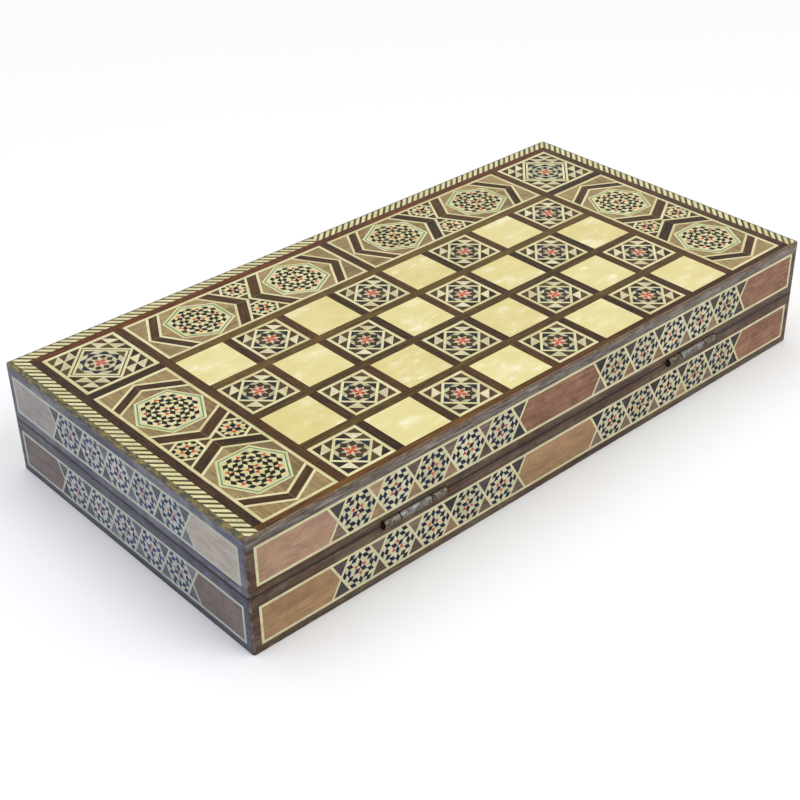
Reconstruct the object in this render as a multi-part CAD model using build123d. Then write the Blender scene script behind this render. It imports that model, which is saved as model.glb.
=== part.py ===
from build123d import *
import math
import os

# A folding game box, closed: an inlaid chessboard outside and a backgammon table inside.
# X runs along the hinge, Y from the hinge side to the latch side, Z up. Sizes are millimetres.

# Board pattern on each outer face
squares_along = 8
squares_deep = 4
square = 29.8             # side of a chess square
strip = 5.4               # walnut strip between squares and blocks
block = 43.4              # side of a corner star, and width of the hexagon panels
edge_strip = 4.9          # walnut strip between the panels and the striped banding
hinge_strip = 3.6         # walnut strip between the first row and the rim at the hinge
banding = 6.3             # striped banding along the other three sides
rim_left = 3.0            # bare rail edge outside the inlay
rim_right = 0.8
rim_latch = 0.8
rim_hinge = 1.4

# Layers of one half, counted from its outer face
veneer = 1.7
tile_recess = 0.1         # squares and panels lie this much below the walnut strips
panel_board = 4.0
floor_veneer = 1.0
half_height = 32.8
parting_gap = 0.4
rail = 12.0
board_inset = 5.0         # from the outer faces to the board, which sits in a rebate of the rails
corner_round = 1.6
rim_round = 0.5

# Friezes let into the outside of the rails
frieze_height = 22.2
frieze_depth = 1.2
frieze_end_margin = 4.9
base_frieze_inset = 4.4   # from the base's outer face to the frieze
lid_frieze_inset = 5.7    # from the lid's outer face to the frieze
stringing_width = 1.5
diagonal_width = 1.3
hexagons_in_group = 5
long_hexagon_pitch = 23.5
short_hexagon_pitch = 22.2
long_group_offset = 89.0  # from the middle of the long side to the middle of each group

# Backgammon table on each inner floor
points_per_row = 6
point_length = 150.0
point_gap = 1.5
point_end_gap = 2.0
medallion_radius = 19.0

# Butt hinges
hinge_positions = (-101.5, 106.1)
barrel_radius = 2.2
axis_proud = 0.25         # the pin lies this far outside the rail's face, so the halves clear
pin_radius = 1.0
pin_clearance = 0.05
middle_knuckle = 20.0
end_knuckle = 10.3
knuckle_gap = 0.15
leaf_width = 10.0
leaf_thickness = 1.0
leaf_gap = 0.3
leaf_side_gap = 0.1
notch_clearance = 0.35
hinge_screw_spacing = 14.0
hinge_screw_setback = 6.2  # from the pin to the row of screws

# Screws
screw_radius = 1.1
screw_head_radius = 2.0
screw_head_height = 0.9
screw_length = 8.0
screw_clearance = 0.05
slot_width = 0.5
slot_depth = 0.3

# Swing hook on the latch side
hook_angle = 30.0         # swing from hanging to caught on the stud
pivot_inset = 4.7         # from the lid frieze's parting-side edge to the pivot
stud_inset = 4.6          # from the base frieze's parting-side edge to the stud
hook_thickness = 1.2
hook_stand_off = 0.3
hook_eye_radius = 3.0
hook_arm_width = 2.6
hook_end_radius = 3.6
hook_throat_clearance = 0.3
stud_radius = 1.0
stud_head_radius = 2.3
stud_head_height = 1.1
stud_head_gap = 0.3
stud_depth = 9.0
washer_radius = 3.0

# Chessmen: foot radius, height, waist radius, collar radius, head radius
pawn_sizes = (9.4, 34.0, 3.2, 5.6, 5.0)
rook_sizes = (10.4, 38.0, 5.0, 7.4, 6.8)
knight_sizes = (10.4, 44.0, 5.6, 7.4, 5.2)
bishop_sizes = (10.4, 48.0, 3.7, 6.6, 5.4)
queen_sizes = (11.2, 56.0, 4.0, 7.2, 7.4)
king_sizes = (11.8, 62.0, 4.2, 7.6, 7.6)
foot_height = 2.6
foot_step = 1.5
collar_height = 1.6
collar_neck = 1.2
finial_radius = 1.7
cross_width = 5.4
cross_bar = 1.7
cross_height = 6.0
crenel_count = 6
crenel_width = 2.2
crenel_depth = 2.2
turret_bore_radius = 4.2
mitre_slit = 1.1

# Checkers and dice
checkers_per_side = 15
checker_radius = 12.6
checker_thickness = 7.4
checker_edge = 0.8
checker_groove = (6.4, 8.6, 0.5)   # inner radius, outer radius, depth
die_side = 12.0
die_edge = 1.2
pip_radius = 1.15
pip_depth = 0.45
pip_spread = 3.1

# Gaps between the things lying in the base
column_gap = 3.0
piece_gap = 0.9
checker_gap = 0.3
rest_gap = 0.2
wall_gap = 1.5

pitch = square + strip
box_length = (rim_left + banding + edge_strip + block + strip + squares_along * pitch
              + block + edge_strip + banding + rim_right)
box_depth = (rim_hinge + hinge_strip + squares_deep * pitch + block + edge_strip + banding
             + rim_latch)
box_height = 2 * half_height + parting_gap
axis_z = box_height / 2
rebate = veneer + panel_board
floor_top = rebate + floor_veneer

hinge_proud = axis_proud + barrel_radius
latch_proud = hook_stand_off + hook_thickness + stud_head_gap + stud_head_height
centre_y = (hinge_proud - latch_proud) / 2
left_x = -box_length / 2
right_x = box_length / 2
hinge_y = centre_y - box_depth / 2
latch_y = centre_y + box_depth / 2
axis_y = hinge_y - axis_proud
barrel_length = middle_knuckle + 2 * (end_knuckle + knuckle_gap)

field_left = left_x + rim_left
field_right = right_x - rim_right
field_hinge = hinge_y + rim_hinge
field_latch = latch_y - rim_latch
blocks_left = field_left + banding + edge_strip
blocks_right = field_right - banding - edge_strip
blocks_latch = field_latch - banding - edge_strip
squares_left = blocks_left + block + strip
squares_hinge = field_hinge + hinge_strip

inner_left = left_x + rail
inner_right = right_x - rail
inner_hinge = hinge_y + rail
inner_latch = latch_y - rail
inner_depth = inner_latch - inner_hinge
inner_middle_y = (inner_hinge + inner_latch) / 2


def block_between(x0, x1, y0, y1, z0, z1):
    """A rectangular block from its lowest to its highest corner."""
    corner = (Align.MIN, Align.MIN, Align.MIN)
    return Pos(x0, y0, z0) * Box(x1 - x0, y1 - y0, z1 - z0, align=corner)


def prism(points, z0, z1):
    """A straight-sided solid on a polygon in the XY plane, from z0 to z1."""
    return Pos(0, 0, z0) * extrude(Polygon(*points, align=None), z1 - z0)


def inset(points, gaps):
    """Moves each edge of an anticlockwise convex polygon inwards by its own gap."""
    lines = []
    for k, (x0, y0) in enumerate(points):
        x1, y1 = points[(k + 1) % len(points)]
        length = math.hypot(x1 - x0, y1 - y0)
        nx, ny = -(y1 - y0) / length, (x1 - x0) / length
        lines.append((nx, ny, nx * x0 + ny * y0 + gaps[k]))
    corners = []
    for k, (b1, b2, c2) in enumerate(lines):
        a1, a2, c1 = lines[k - 1]
        det = a1 * b2 - a2 * b1
        corners.append(((c1 * b2 - a2 * c2) / det, (a1 * c2 - c1 * b1) / det))
    return corners


def to_lid(shape):
    """The lid is the base's mirror image in the parting plane."""
    return mirror(shape, about=Plane.XY.offset(axis_z))


def save(name, shapes):
    """Writes one STEP file that holds every solid of the given shapes."""
    solids = [solid for shape in shapes for solid in shape.solids()]
    model = solids[0] if len(solids) == 1 else Compound(children=solids)
    export_step(model, f"parts/{name}.step")


# Rails

def hinge_cuts():
    """Room for the leaf, the barrel and the screws of each hinge, in the base's rail."""
    leaf_bottom = axis_z - leaf_gap / 2 - leaf_thickness
    cuts = []
    for x in hinge_positions:
        half = barrel_length / 2 + leaf_side_gap
        cuts.append(block_between(x - half, x + half, hinge_y - 1, axis_y + leaf_width + leaf_side_gap,
                                  leaf_bottom, half_height + 1))
        notch = barrel_length / 2 + notch_clearance
        cuts.append(block_between(x - notch, x + notch, hinge_y - 1,
                                  axis_y + barrel_radius + notch_clearance,
                                  axis_z - barrel_radius - notch_clearance, half_height + 1))
        for dx in (-hinge_screw_spacing, 0, hinge_screw_spacing):
            depth = screw_length + 1
            cuts.append(Pos(x + dx, axis_y + hinge_screw_setback, leaf_bottom - depth / 2)
                        * Cylinder(screw_radius + screw_clearance, depth))
    return cuts


def frieze_planes(inset_from_face):
    """The four outer sides of the base: a plane with X along the side and Z outwards."""
    z = inset_from_face + frieze_height / 2
    return {
        "hinge": (Plane((0, hinge_y, z), x_dir=(1, 0, 0), z_dir=(0, -1, 0)), box_length, True),
        "latch": (Plane((0, latch_y, z), x_dir=(-1, 0, 0), z_dir=(0, 1, 0)), box_length, True),
        "left": (Plane((left_x, centre_y, z), x_dir=(0, -1, 0), z_dir=(-1, 0, 0)), box_depth, False),
        "right": (Plane((right_x, centre_y, z), x_dir=(0, 1, 0), z_dir=(1, 0, 0)), box_depth, False),
    }


def board_block(z_low):
    """The board's outline, from z_low up to its inner face."""
    return block_between(left_x + board_inset, right_x - board_inset, hinge_y + board_inset,
                         latch_y - board_inset, z_low, rebate)


def tray_rails(inset_from_face, latch_hole):
    """Four mitred rails, with the rebate for the board and the pockets for the friezes."""
    outline = Pos(0, centre_y) * RectangleRounded(box_length, box_depth, corner_round)
    frame = extrude(outline, half_height)
    frame = fillet(frame.edges().group_by(Axis.Z)[0], rim_round)
    frame -= block_between(inner_left, inner_right, inner_hinge, inner_latch, -1, half_height + 1)
    frame -= block_between(field_left, field_right, field_hinge, field_latch, -1, veneer)
    frame -= board_block(-1)
    for plane, side_length, _ in frieze_planes(inset_from_face).values():
        pocket = Box(side_length - 2 * frieze_end_margin, frieze_height, 2 * frieze_depth)
        frame -= plane * pocket
    for cut in hinge_cuts():
        frame -= cut
    frame -= latch_hole
    outer = [(left_x, hinge_y), (right_x, hinge_y), (right_x, latch_y), (left_x, latch_y)]
    inner = [(inner_left, inner_hinge), (inner_right, inner_hinge),
             (inner_right, inner_latch), (inner_left, inner_latch)]
    rails = {}
    for k, side in enumerate(("hinge", "right", "latch", "left")):
        j = (k + 1) % 4
        wedge = prism([outer[k], outer[j], inner[j], inner[k]], 0, half_height)
        rails[side] = frame & wedge
    return rails


# Outer face inlay

def square_tile(column, row):
    x = squares_left + column * pitch
    y = squares_hinge + row * pitch
    return block_between(x, x + square, y, y + square, tile_recess, veneer)


def chess_tiles(first_is_star):
    """The pearl and star squares; the first is at the left end of the hinge row."""
    pearl, star = [], []
    for row in range(squares_deep):
        for column in range(squares_along):
            starred = (row + column) % 2 == (0 if first_is_star else 1)
            (star if starred else pearl).append(square_tile(column, row))
    return pearl, star


def corner_tiles():
    y0 = blocks_latch - block
    return [block_between(x, x + block, y0, blocks_latch, tile_recess, veneer)
            for x in (blocks_left, blocks_right - block)]


def hexagon_panel_tiles():
    """Two long panels beside the squares and two along the latch side."""
    y0 = blocks_latch - block
    middle = squares_left + squares_along * pitch / 2 - strip / 2
    tiles = [block_between(x, x + block, squares_hinge, y0 - strip, tile_recess, veneer)
             for x in (blocks_left, blocks_right - block)]
    tiles.append(block_between(blocks_left + block + strip, middle - strip / 2, y0, blocks_latch,
                               tile_recess, veneer))
    tiles.append(block_between(middle + strip / 2, blocks_right - block - strip, y0, blocks_latch,
                               tile_recess, veneer))
    return tiles


def banding_strips():
    """Striped banding on three sides, mitred at the two latch-side corners."""
    x0, x1, y0, y1 = field_left, field_right, field_hinge, field_latch
    b = banding
    left = [(x0, y0), (x0 + b, y0), (x0 + b, y1 - b), (x0, y1)]
    latch = [(x0, y1), (x0 + b, y1 - b), (x1 - b, y1 - b), (x1, y1)]
    right = [(x1, y0), (x1, y1), (x1 - b, y1 - b), (x1 - b, y0)]
    return [prism(points, tile_recess, veneer) for points in (left, latch, right)]


def walnut_strips(tiles):
    plate = block_between(field_left + banding, field_right - banding, field_hinge,
                          field_latch - banding, 0, veneer)
    for tile in tiles:
        plate -= tile
        plate -= Pos(0, 0, -tile_recess) * tile
    return plate


# Side friezes

def frieze_polygons(side_length, is_long):
    """Hexagons, triangles and plain panels between the stringing lines of one side."""
    step = long_hexagon_pitch if is_long else short_hexagon_pitch
    groups = (-long_group_offset, long_group_offset) if is_long else (0.0,)
    top = (frieze_height - stringing_width) / 2
    end = (side_length - 2 * frieze_end_margin - stringing_width) / 2
    line, slant = stringing_width / 2, diagonal_width / 2
    hexagons, triangles, panels = [], [], []
    ends = [-end]
    for group in groups:
        for k in range(hexagons_in_group):
            c = group + (k - (hexagons_in_group - 1) / 2) * step
            points = [(c - step / 4, -top), (c + step / 4, -top), (c + step / 2, 0),
                      (c + step / 4, top), (c - step / 4, top), (c - step / 2, 0)]
            hexagons.append(inset(points, [line, slant, slant, line, slant, slant]))
        for k in range(hexagons_in_group + 1):
            c = group + (k - hexagons_in_group / 2) * step
            upper = [(c, 0), (c + step / 4, top), (c - step / 4, top)]
            lower = [(c, 0), (c - step / 4, -top), (c + step / 4, -top)]
            triangles += [inset(points, [slant, line, slant]) for points in (upper, lower)]
        reach = hexagons_in_group / 2 * step
        ends += [group - reach, group + reach]
    ends.append(end)
    last = len(ends) - 2
    for k in range(0, len(ends), 2):
        a, b = ends[k], ends[k + 1]
        points = [(a, -top), (a, top)] if k == 0 else [(a + step / 4, -top), (a, 0), (a + step / 4, top)]
        gaps = [line, line] if k == 0 else [slant, slant, line]
        points += [(b, top), (b, -top)] if k == last else [(b - step / 4, top), (b, 0), (b - step / 4, -top)]
        gaps += [line, line] if k == last else [slant, slant, line]
        panels.append(inset(points[::-1], gaps[:-1][::-1] + [gaps[-1]]))
    return hexagons, triangles, panels


def side_inlay(inset_from_face):
    """All four friezes of the base: stringing, hexagons, triangles and plain panels."""
    found = {"stringing": [], "hexagons": [], "triangles": [], "panels": []}
    for plane, side_length, is_long in frieze_planes(inset_from_face).values():
        hexagons, triangles, panels = frieze_polygons(side_length, is_long)
        lines = Pos(0, 0, -frieze_depth / 2) * Box(side_length - 2 * frieze_end_margin,
                                                    frieze_height, frieze_depth)
        for kind, polygons in (("hexagons", hexagons), ("triangles", triangles), ("panels", panels)):
            tiles = [prism(points, -frieze_depth, 0) for points in polygons]
            found[kind] += [plane * tile for tile in tiles]
            lines -= tiles
        found["stringing"].append(plane * lines)
    return found


# Inner floor

def point_triangle(row_end, k):
    """A long backgammon point; row_end is -1 at the left wall and +1 at the right wall."""
    point_pitch = inner_depth / points_per_row
    y = inner_hinge + (k + 0.5) * point_pitch
    half = (point_pitch - point_gap) / 2
    wall = inner_left if row_end < 0 else inner_right
    x0 = wall - row_end * point_end_gap
    x1 = x0 - row_end * point_length
    points = [(x0, y - half), (x0, y + half), (x1, y)]
    return points if row_end > 0 else points[::-1]


def floor_inlay():
    """The veneered floor, its light and dark points, and the middle medallion."""
    light, dark = [], []
    for row_end in (-1, 1):
        for k in range(points_per_row):
            tile = prism(point_triangle(row_end, k), rebate, floor_top)
            (light if (k % 2 == 0) == (row_end < 0) else dark).append(tile)
    centre = Pos(0, inner_middle_y, rebate)
    medallion = centre * extrude(RegularPolygon(medallion_radius, 6), floor_veneer)
    sheet = block_between(inner_left, inner_right, inner_hinge, inner_latch, rebate, floor_top)
    for tile in light + dark + [medallion]:
        sheet -= tile
    return sheet, light, dark, medallion


# Hinges

def along_x(radius, length):
    return Rot(0, 90, 0) * Cylinder(radius, length)


def screw():
    """A countersunk wood screw, head face at the origin, pointing down."""
    head = Pos(0, 0, -screw_head_height / 2) * Cone(screw_radius, screw_head_radius, screw_head_height)
    shank_length = screw_length - screw_head_height
    shank = Pos(0, 0, -screw_head_height - shank_length / 2) * Cylinder(screw_radius, shank_length)
    slot = Box(3 * screw_head_radius, slot_width, 2 * slot_depth)
    return head + shank - slot


def hinge_screw_places():
    return [(x + dx, axis_y + hinge_screw_setback) for x in hinge_positions
            for dx in (-hinge_screw_spacing, 0, hinge_screw_spacing)]


def hinge_leaf(x, knuckles):
    """A leaf let into the base's rail, with the given (start, end) stretches of barrel."""
    top = axis_z - leaf_gap / 2
    clear = axis_y + barrel_radius + notch_clearance
    leaf = block_between(x - barrel_length / 2, x + barrel_length / 2, clear, axis_y + leaf_width,
                         top - leaf_thickness, top)
    for start, end in knuckles:
        middle = x + (start + end) / 2
        leaf += Pos(middle, axis_y, axis_z) * along_x(barrel_radius, end - start)
        leaf += block_between(x + start, x + end, axis_y, clear, top - leaf_thickness, top)
    leaf -= Pos(x, axis_y, axis_z) * along_x(pin_radius + pin_clearance, barrel_length + 2)
    for dx in (-hinge_screw_spacing, 0, hinge_screw_spacing):
        head = Cone(screw_radius + screw_clearance, screw_head_radius + screw_clearance,
                    screw_head_height)
        place = Pos(x + dx, axis_y + hinge_screw_setback, top)
        leaf -= place * Pos(0, 0, -screw_head_height / 2) * head
        leaf -= place * Cylinder(screw_radius + screw_clearance, 4 * leaf_thickness)
    return leaf


def hinges():
    """The leaves of both hinges and their pins; the lid's leaves carry the end knuckles."""
    half = barrel_length / 2
    middle = [(-middle_knuckle / 2, middle_knuckle / 2)]
    ends = [(-half, end_knuckle - half), (half - end_knuckle, half)]
    base = [hinge_leaf(x, middle) for x in hinge_positions]
    lid = [to_lid(hinge_leaf(x, ends)) for x in hinge_positions]
    pins = [Pos(x, axis_y, axis_z) * along_x(pin_radius, barrel_length) for x in hinge_positions]
    return base, lid, pins


# Latch

pivot_z = box_height - lid_frieze_inset - frieze_height + pivot_inset
stud_z = base_frieze_inset + frieze_height - stud_inset
hook_reach = (pivot_z - stud_z) * math.tan(math.radians(hook_angle))
hook_length = math.hypot(hook_reach, pivot_z - stud_z)
pivot_x = -hook_reach / 2
stud_x = hook_reach / 2


def latch_stud(x, z, washer):
    """A round-headed screw in the latch-side rail; the washer carries the pivot's eye."""
    out = hook_stand_off + hook_thickness + stud_head_gap
    along_y = Rot(-90, 0, 0)
    shank = Pos(0, 0, (out - stud_depth) / 2) * Cylinder(stud_radius, out + stud_depth)
    head = Pos(0, 0, out + stud_head_height / 2) * Cylinder(stud_head_radius, stud_head_height)
    head = fillet(head.edges().group_by(Axis.Z)[-1], stud_head_height / 2)
    stud = shank + head
    if washer:
        stud += Pos(0, 0, hook_stand_off / 4) * Cylinder(washer_radius, hook_stand_off / 2)
    slot = Box(3 * stud_head_radius, slot_width, 2 * slot_depth)
    stud -= Pos(0, 0, out + stud_head_height) * slot
    return Pos(x, latch_y, z) * along_y * stud


def latch_hole(x, z):
    reach = stud_depth + 1
    return (Pos(x, latch_y - reach / 2, z) * Rot(90, 0, 0)
            * Cylinder(stud_radius + screw_clearance, reach + 2))


def latch_hook():
    """The hook hangs from its pivot; its throat opens towards the stud."""
    eye = Circle(hook_eye_radius)
    arm = Pos(0, -hook_length / 2) * Rectangle(hook_arm_width, hook_length)
    end = Pos(0, -hook_length) * Circle(hook_end_radius)
    throat_half = stud_radius + hook_throat_clearance
    throat = Pos(hook_end_radius, -hook_length) * Rectangle(2 * hook_end_radius, 2 * throat_half)
    bore = Circle(stud_radius + pin_clearance)
    outline = eye + arm + end - throat - Pos(0, -hook_length) * Circle(throat_half) - bore
    hook = Pos(0, 0, -hook_thickness / 2) * extrude(outline, hook_thickness)
    hook = mirror(hook, about=Plane.YZ)
    place = Plane((pivot_x, latch_y + hook_stand_off + hook_thickness / 2, pivot_z),
                  x_dir=(-1, 0, 0), z_dir=(0, 1, 0))
    return place * hook


# Chessmen, each standing on the XY plane

def turned(edges):
    """Turns a closed profile in the XZ plane about Z."""
    return revolve(make_face(edges), Axis.Z)


def stem(sizes, collar_z):
    """The foot, the hollow stem and the collar of a man, up to the neck."""
    foot, _, waist, collar, _ = sizes
    shoulder = (foot - foot_step, 0, foot_height + foot_step)
    neck_z = collar_z + collar_height + collar_neck
    edges = [
        Line((0, 0, 0), (foot, 0, 0)),
        Line((foot, 0, 0), (foot, 0, foot_height)),
        ThreePointArc((foot, 0, foot_height),
                      (foot - 0.3 * foot_step, 0, foot_height + 0.7 * foot_step), shoulder),
        Spline(shoulder, (waist, 0, collar_z), tangents=[(-1, 0, 0.55), (0, 0, 1)]),
        Line((waist, 0, collar_z), (collar, 0, collar_z)),
        ThreePointArc((collar, 0, collar_z), (collar + 0.4, 0, collar_z + collar_height / 2),
                      (collar, 0, collar_z + collar_height)),
        Line((collar, 0, collar_z + collar_height), (waist, 0, neck_z)),
    ]
    return edges, neck_z


def close_profile(edges, head, top):
    return edges + head + [Line((0, 0, top), (0, 0, 0))]


def pawn():
    _, height, waist, _, head = pawn_sizes
    centre = height - head
    neck_z = centre - math.sqrt(head ** 2 - waist ** 2)
    edges, neck_z = stem(pawn_sizes, neck_z - collar_height - collar_neck)
    ball = ThreePointArc((waist, 0, neck_z), (head, 0, centre), (0, 0, height))
    return turned(close_profile(edges, [ball], height))


def bishop():
    _, height, waist, _, head = bishop_sizes
    mitre_top = height - 2 * finial_radius + 0.5
    mitre_height = 2.7 * head
    edges, neck_z = stem(bishop_sizes, mitre_top - mitre_height - collar_height - collar_neck)
    mitre = Spline((waist, 0, neck_z), (head, 0, neck_z + 0.38 * mitre_height),
                   (0.8 * finial_radius, 0, mitre_top))
    cap = Line((0.8 * finial_radius, 0, mitre_top), (0, 0, mitre_top))
    body = turned(close_profile(edges, [mitre, cap], mitre_top))
    body += Pos(0, 0, height - finial_radius) * Sphere(finial_radius)
    slit = Pos(head, 0, neck_z + 0.62 * mitre_height) * Rot(0, -35, 0) * Box(1.4 * head, 3 * head, mitre_slit)
    return body - slit


def crowned(sizes, crown_top, crown_height):
    """A man whose head flares up to a flat crown."""
    _, _, waist, _, head = sizes
    edges, neck_z = stem(sizes, crown_top - crown_height - collar_height - collar_neck)
    flare = Spline((waist, 0, neck_z), (head, 0, crown_top),
                   tangents=[(0.1, 0, 1), (0.55, 0, 1)])
    lip = Line((head, 0, crown_top), (head - 1.2, 0, crown_top + 1.0))
    dome = ThreePointArc((head - 1.2, 0, crown_top + 1.0), (0.55 * head, 0, crown_top + 2.1),
                         (0, 0, crown_top + 2.8))
    return turned(close_profile(edges, [flare, lip, dome], crown_top + 2.8)), crown_top + 2.8


def queen():
    _, height, _, _, head = queen_sizes
    body, top = crowned(queen_sizes, height - 2 * finial_radius - 2.4, 1.9 * head)
    for k in range(8):
        angle = math.radians(45 * k)
        notch = Pos(head * math.cos(angle), head * math.sin(angle), top - 2.4)
        body -= notch * Sphere(1.3)
    return body + Pos(0, 0, height - finial_radius) * Sphere(finial_radius)


def king():
    _, height, _, _, head = king_sizes
    body, top = crowned(king_sizes, height - cross_height - 2.4, 1.9 * head)
    upright = block_between(-cross_bar / 2, cross_bar / 2, -cross_bar / 2, cross_bar / 2, top - 1, height)
    bar_z = height - 0.42 * cross_height
    arms = block_between(-cross_bar / 2, cross_bar / 2, -cross_width / 2, cross_width / 2,
                         bar_z - cross_bar / 2, bar_z + cross_bar / 2)
    return body + upright + arms


def rook():
    _, height, waist, _, head = rook_sizes
    turret_height = 1.15 * head
    edges, neck_z = stem(rook_sizes, height - turret_height - collar_height - collar_neck)
    wall = [Line((waist, 0, neck_z), (head, 0, neck_z + 1.6)),
            Line((head, 0, neck_z + 1.6), (head, 0, height)),
            Line((head, 0, height), (0, 0, height))]
    body = turned(close_profile(edges, wall, height))
    bore_depth = crenel_depth + 1.0
    body -= Pos(0, 0, height - bore_depth / 2) * Cylinder(turret_bore_radius, bore_depth + 0.01)
    for k in range(crenel_count // 2):
        slot = Box(3 * head, crenel_width, 2 * crenel_depth)
        body -= Pos(0, 0, height) * Rot(0, 0, 360 / crenel_count * k) * slot
    return body


def knight():
    """A turned foot with a flat-sided horse's head, facing +X."""
    foot, height, waist, collar, half_thick = knight_sizes
    collar_z = 9.0
    edges, neck_z = stem(knight_sizes, collar_z)
    plinth = turned(close_profile(edges, [Line((waist, 0, neck_z), (0, 0, neck_z))], neck_z))
    head = height - neck_z
    chest = (0.95 * collar, 0, neck_z - 1.0)
    throat = (0.35 * collar, 0, neck_z + 0.36 * head)
    jaw = (0.8 * collar, 0, neck_z + 0.40 * head)
    chin = (1.28 * collar, 0, neck_z + 0.43 * head)
    nose = (1.36 * collar, 0, neck_z + 0.56 * head)
    brow = (0.50 * collar, 0, neck_z + 0.88 * head)
    ear = (0.22 * collar, 0, height)
    poll = (-0.18 * collar, 0, neck_z + 0.90 * head)
    withers = (-0.95 * collar, 0, neck_z - 1.0)
    outline = [
        Spline(chest, (0.72 * collar, 0, neck_z + 0.2 * head), throat),
        Line(throat, jaw),
        Line(jaw, chin),
        ThreePointArc(chin, (1.44 * collar, 0, neck_z + 0.50 * head), nose),
        Spline(nose, (0.92 * collar, 0, neck_z + 0.72 * head), brow),
        Line(brow, ear),
        Line(ear, poll),
        Spline(poll, (-0.98 * collar, 0, neck_z + 0.5 * head), withers),
        Line(withers, chest),
    ]
    silhouette = Pos(0, half_thick, 0) * extrude(make_face(outline), 2 * half_thick, dir=(0, -1, 0))
    return plinth + silhouette


def laid_down(man, sizes, heading):
    """Lays a man on its side, head towards heading, so that foot and head rest on the floor."""
    foot, height, _, _, head = sizes
    tilt = math.degrees(math.asin((foot - head) / (height - head - foot_height)))
    return Rot(0, heading * (90 + tilt), 0) * man


def put(shape, x_low, y_middle, floor):
    """Moves a shape so that its box starts at x_low, is centred on y_middle and rests on floor."""
    box = shape.bounding_box()
    return Pos(x_low - box.min.X, y_middle - (box.min.Y + box.max.Y) / 2, floor - box.min.Z) * shape


def laid_column(men, heading, x_low, y_start):
    """Men side by side along Y, feet in line; returns them by kind and the column's far edge."""
    placed, y = {}, y_start
    x_high = x_low
    for kind, man, sizes in men:
        lying = put(laid_down(man, sizes, heading), 0, y + sizes[0], floor_top + rest_gap)
        box = lying.bounding_box()
        x_high = max(x_high, x_low + box.max.X - box.min.X)
        placed.setdefault(kind, []).append(lying)
        y += 2 * sizes[0] + piece_gap
    moved = {}
    for kind, shapes in placed.items():
        moved[kind] = []
        for shape in shapes:
            box = shape.bounding_box()
            shift = x_low - box.min.X if heading > 0 else x_high - box.max.X
            moved[kind].append(Pos(shift, 0, 0) * shape)
    return moved, x_high


def checker():
    """A round draughtsman standing on its edge, with a ring turned in each face."""
    half = checker_thickness / 2
    disc = Cylinder(checker_radius, checker_thickness)
    disc = chamfer(disc.edges().filter_by(GeomType.CIRCLE), checker_edge)
    inner, outer, depth = checker_groove
    ring = Cylinder(outer, 2 * depth) - Cylinder(inner, 2 * depth)
    disc -= Pos(0, 0, half) * ring
    disc -= Pos(0, 0, -half) * ring
    return Rot(90, 0, 0) * disc


def die():
    """A cube with rounded edges and one to six dimples; opposite faces add up to seven."""
    cube = fillet(Box(die_side, die_side, die_side).edges(), die_edge)
    s = pip_spread
    layouts = {
        1: [(0, 0)],
        2: [(-s, -s), (s, s)],
        3: [(-s, -s), (0, 0), (s, s)],
        4: [(-s, -s), (-s, s), (s, -s), (s, s)],
        5: [(-s, -s), (-s, s), (0, 0), (s, -s), (s, s)],
        6: [(-s, -s), (-s, 0), (-s, s), (s, -s), (s, 0), (s, s)],
    }
    faces = {1: Rot(0, 0, 0), 6: Rot(180, 0, 0), 2: Rot(90, 0, 0), 5: Rot(-90, 0, 0),
             3: Rot(0, 90, 0), 4: Rot(0, -90, 0)}
    ball = Sphere((pip_radius ** 2 + pip_depth ** 2) / (2 * pip_depth))
    lift = die_side / 2 + (pip_radius ** 2 - pip_depth ** 2) / (2 * pip_depth)
    for value, turn in faces.items():
        for u, v in layouts[value]:
            cube -= turn * Pos(u, v, lift) * ball
    return cube


def contents():
    """Chessmen, checkers and dice lying in the base, light men at the left."""
    men = {"pawn": (pawn(), pawn_sizes), "rook": (rook(), rook_sizes),
           "knight": (Rot(0, 0, 90) * knight(), knight_sizes), "bishop": (bishop(), bishop_sizes),
           "queen": (queen(), queen_sizes), "king": (king(), king_sizes)}
    officers = ["rook", "knight", "bishop", "bishop", "knight", "rook"]
    columns = [
        (["pawn"] * squares_along, "light", 1),
        (officers, "light", 1),
        (["king", "queen"], "both", 1),
        (officers, "dark", -1),
        (["pawn"] * squares_along, "dark", -1),
    ]
    found = {}
    x = inner_left + wall_gap
    for kinds, colour, heading in columns:
        if colour == "both":
            listed = [(f"{k}_light", *men[k]) for k in kinds] + [(f"{k}_dark", *men[k]) for k in kinds[::-1]]
        else:
            listed = [(f"{k}s_{colour}", *men[k]) for k in kinds]
        width = sum(2 * sizes[0] + piece_gap for _, _, sizes in listed) - piece_gap
        placed, x_high = laid_column(listed, heading, x, inner_middle_y - width / 2)
        for kind, shapes in placed.items():
            found.setdefault(kind, []).extend(shapes)
        x = x_high + column_gap
    disc = checker()
    for colour in ("light", "dark"):
        y = inner_latch - wall_gap - checker_thickness / 2
        found[f"checkers_{colour}"] = []
        for k in range(checkers_per_side):
            step = checker_thickness + checker_gap
            found[f"checkers_{colour}"].append(put(disc, x, y - k * step, floor_top + rest_gap))
        x += 2 * checker_radius + column_gap
    cube = die()
    y = inner_hinge + wall_gap + die_side / 2
    found["dice"] = [put(cube, x - column_gap - (k + 1) * (die_side + column_gap), y, floor_top)
                     for k in range(2)]
    return found


# The two halves

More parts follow.
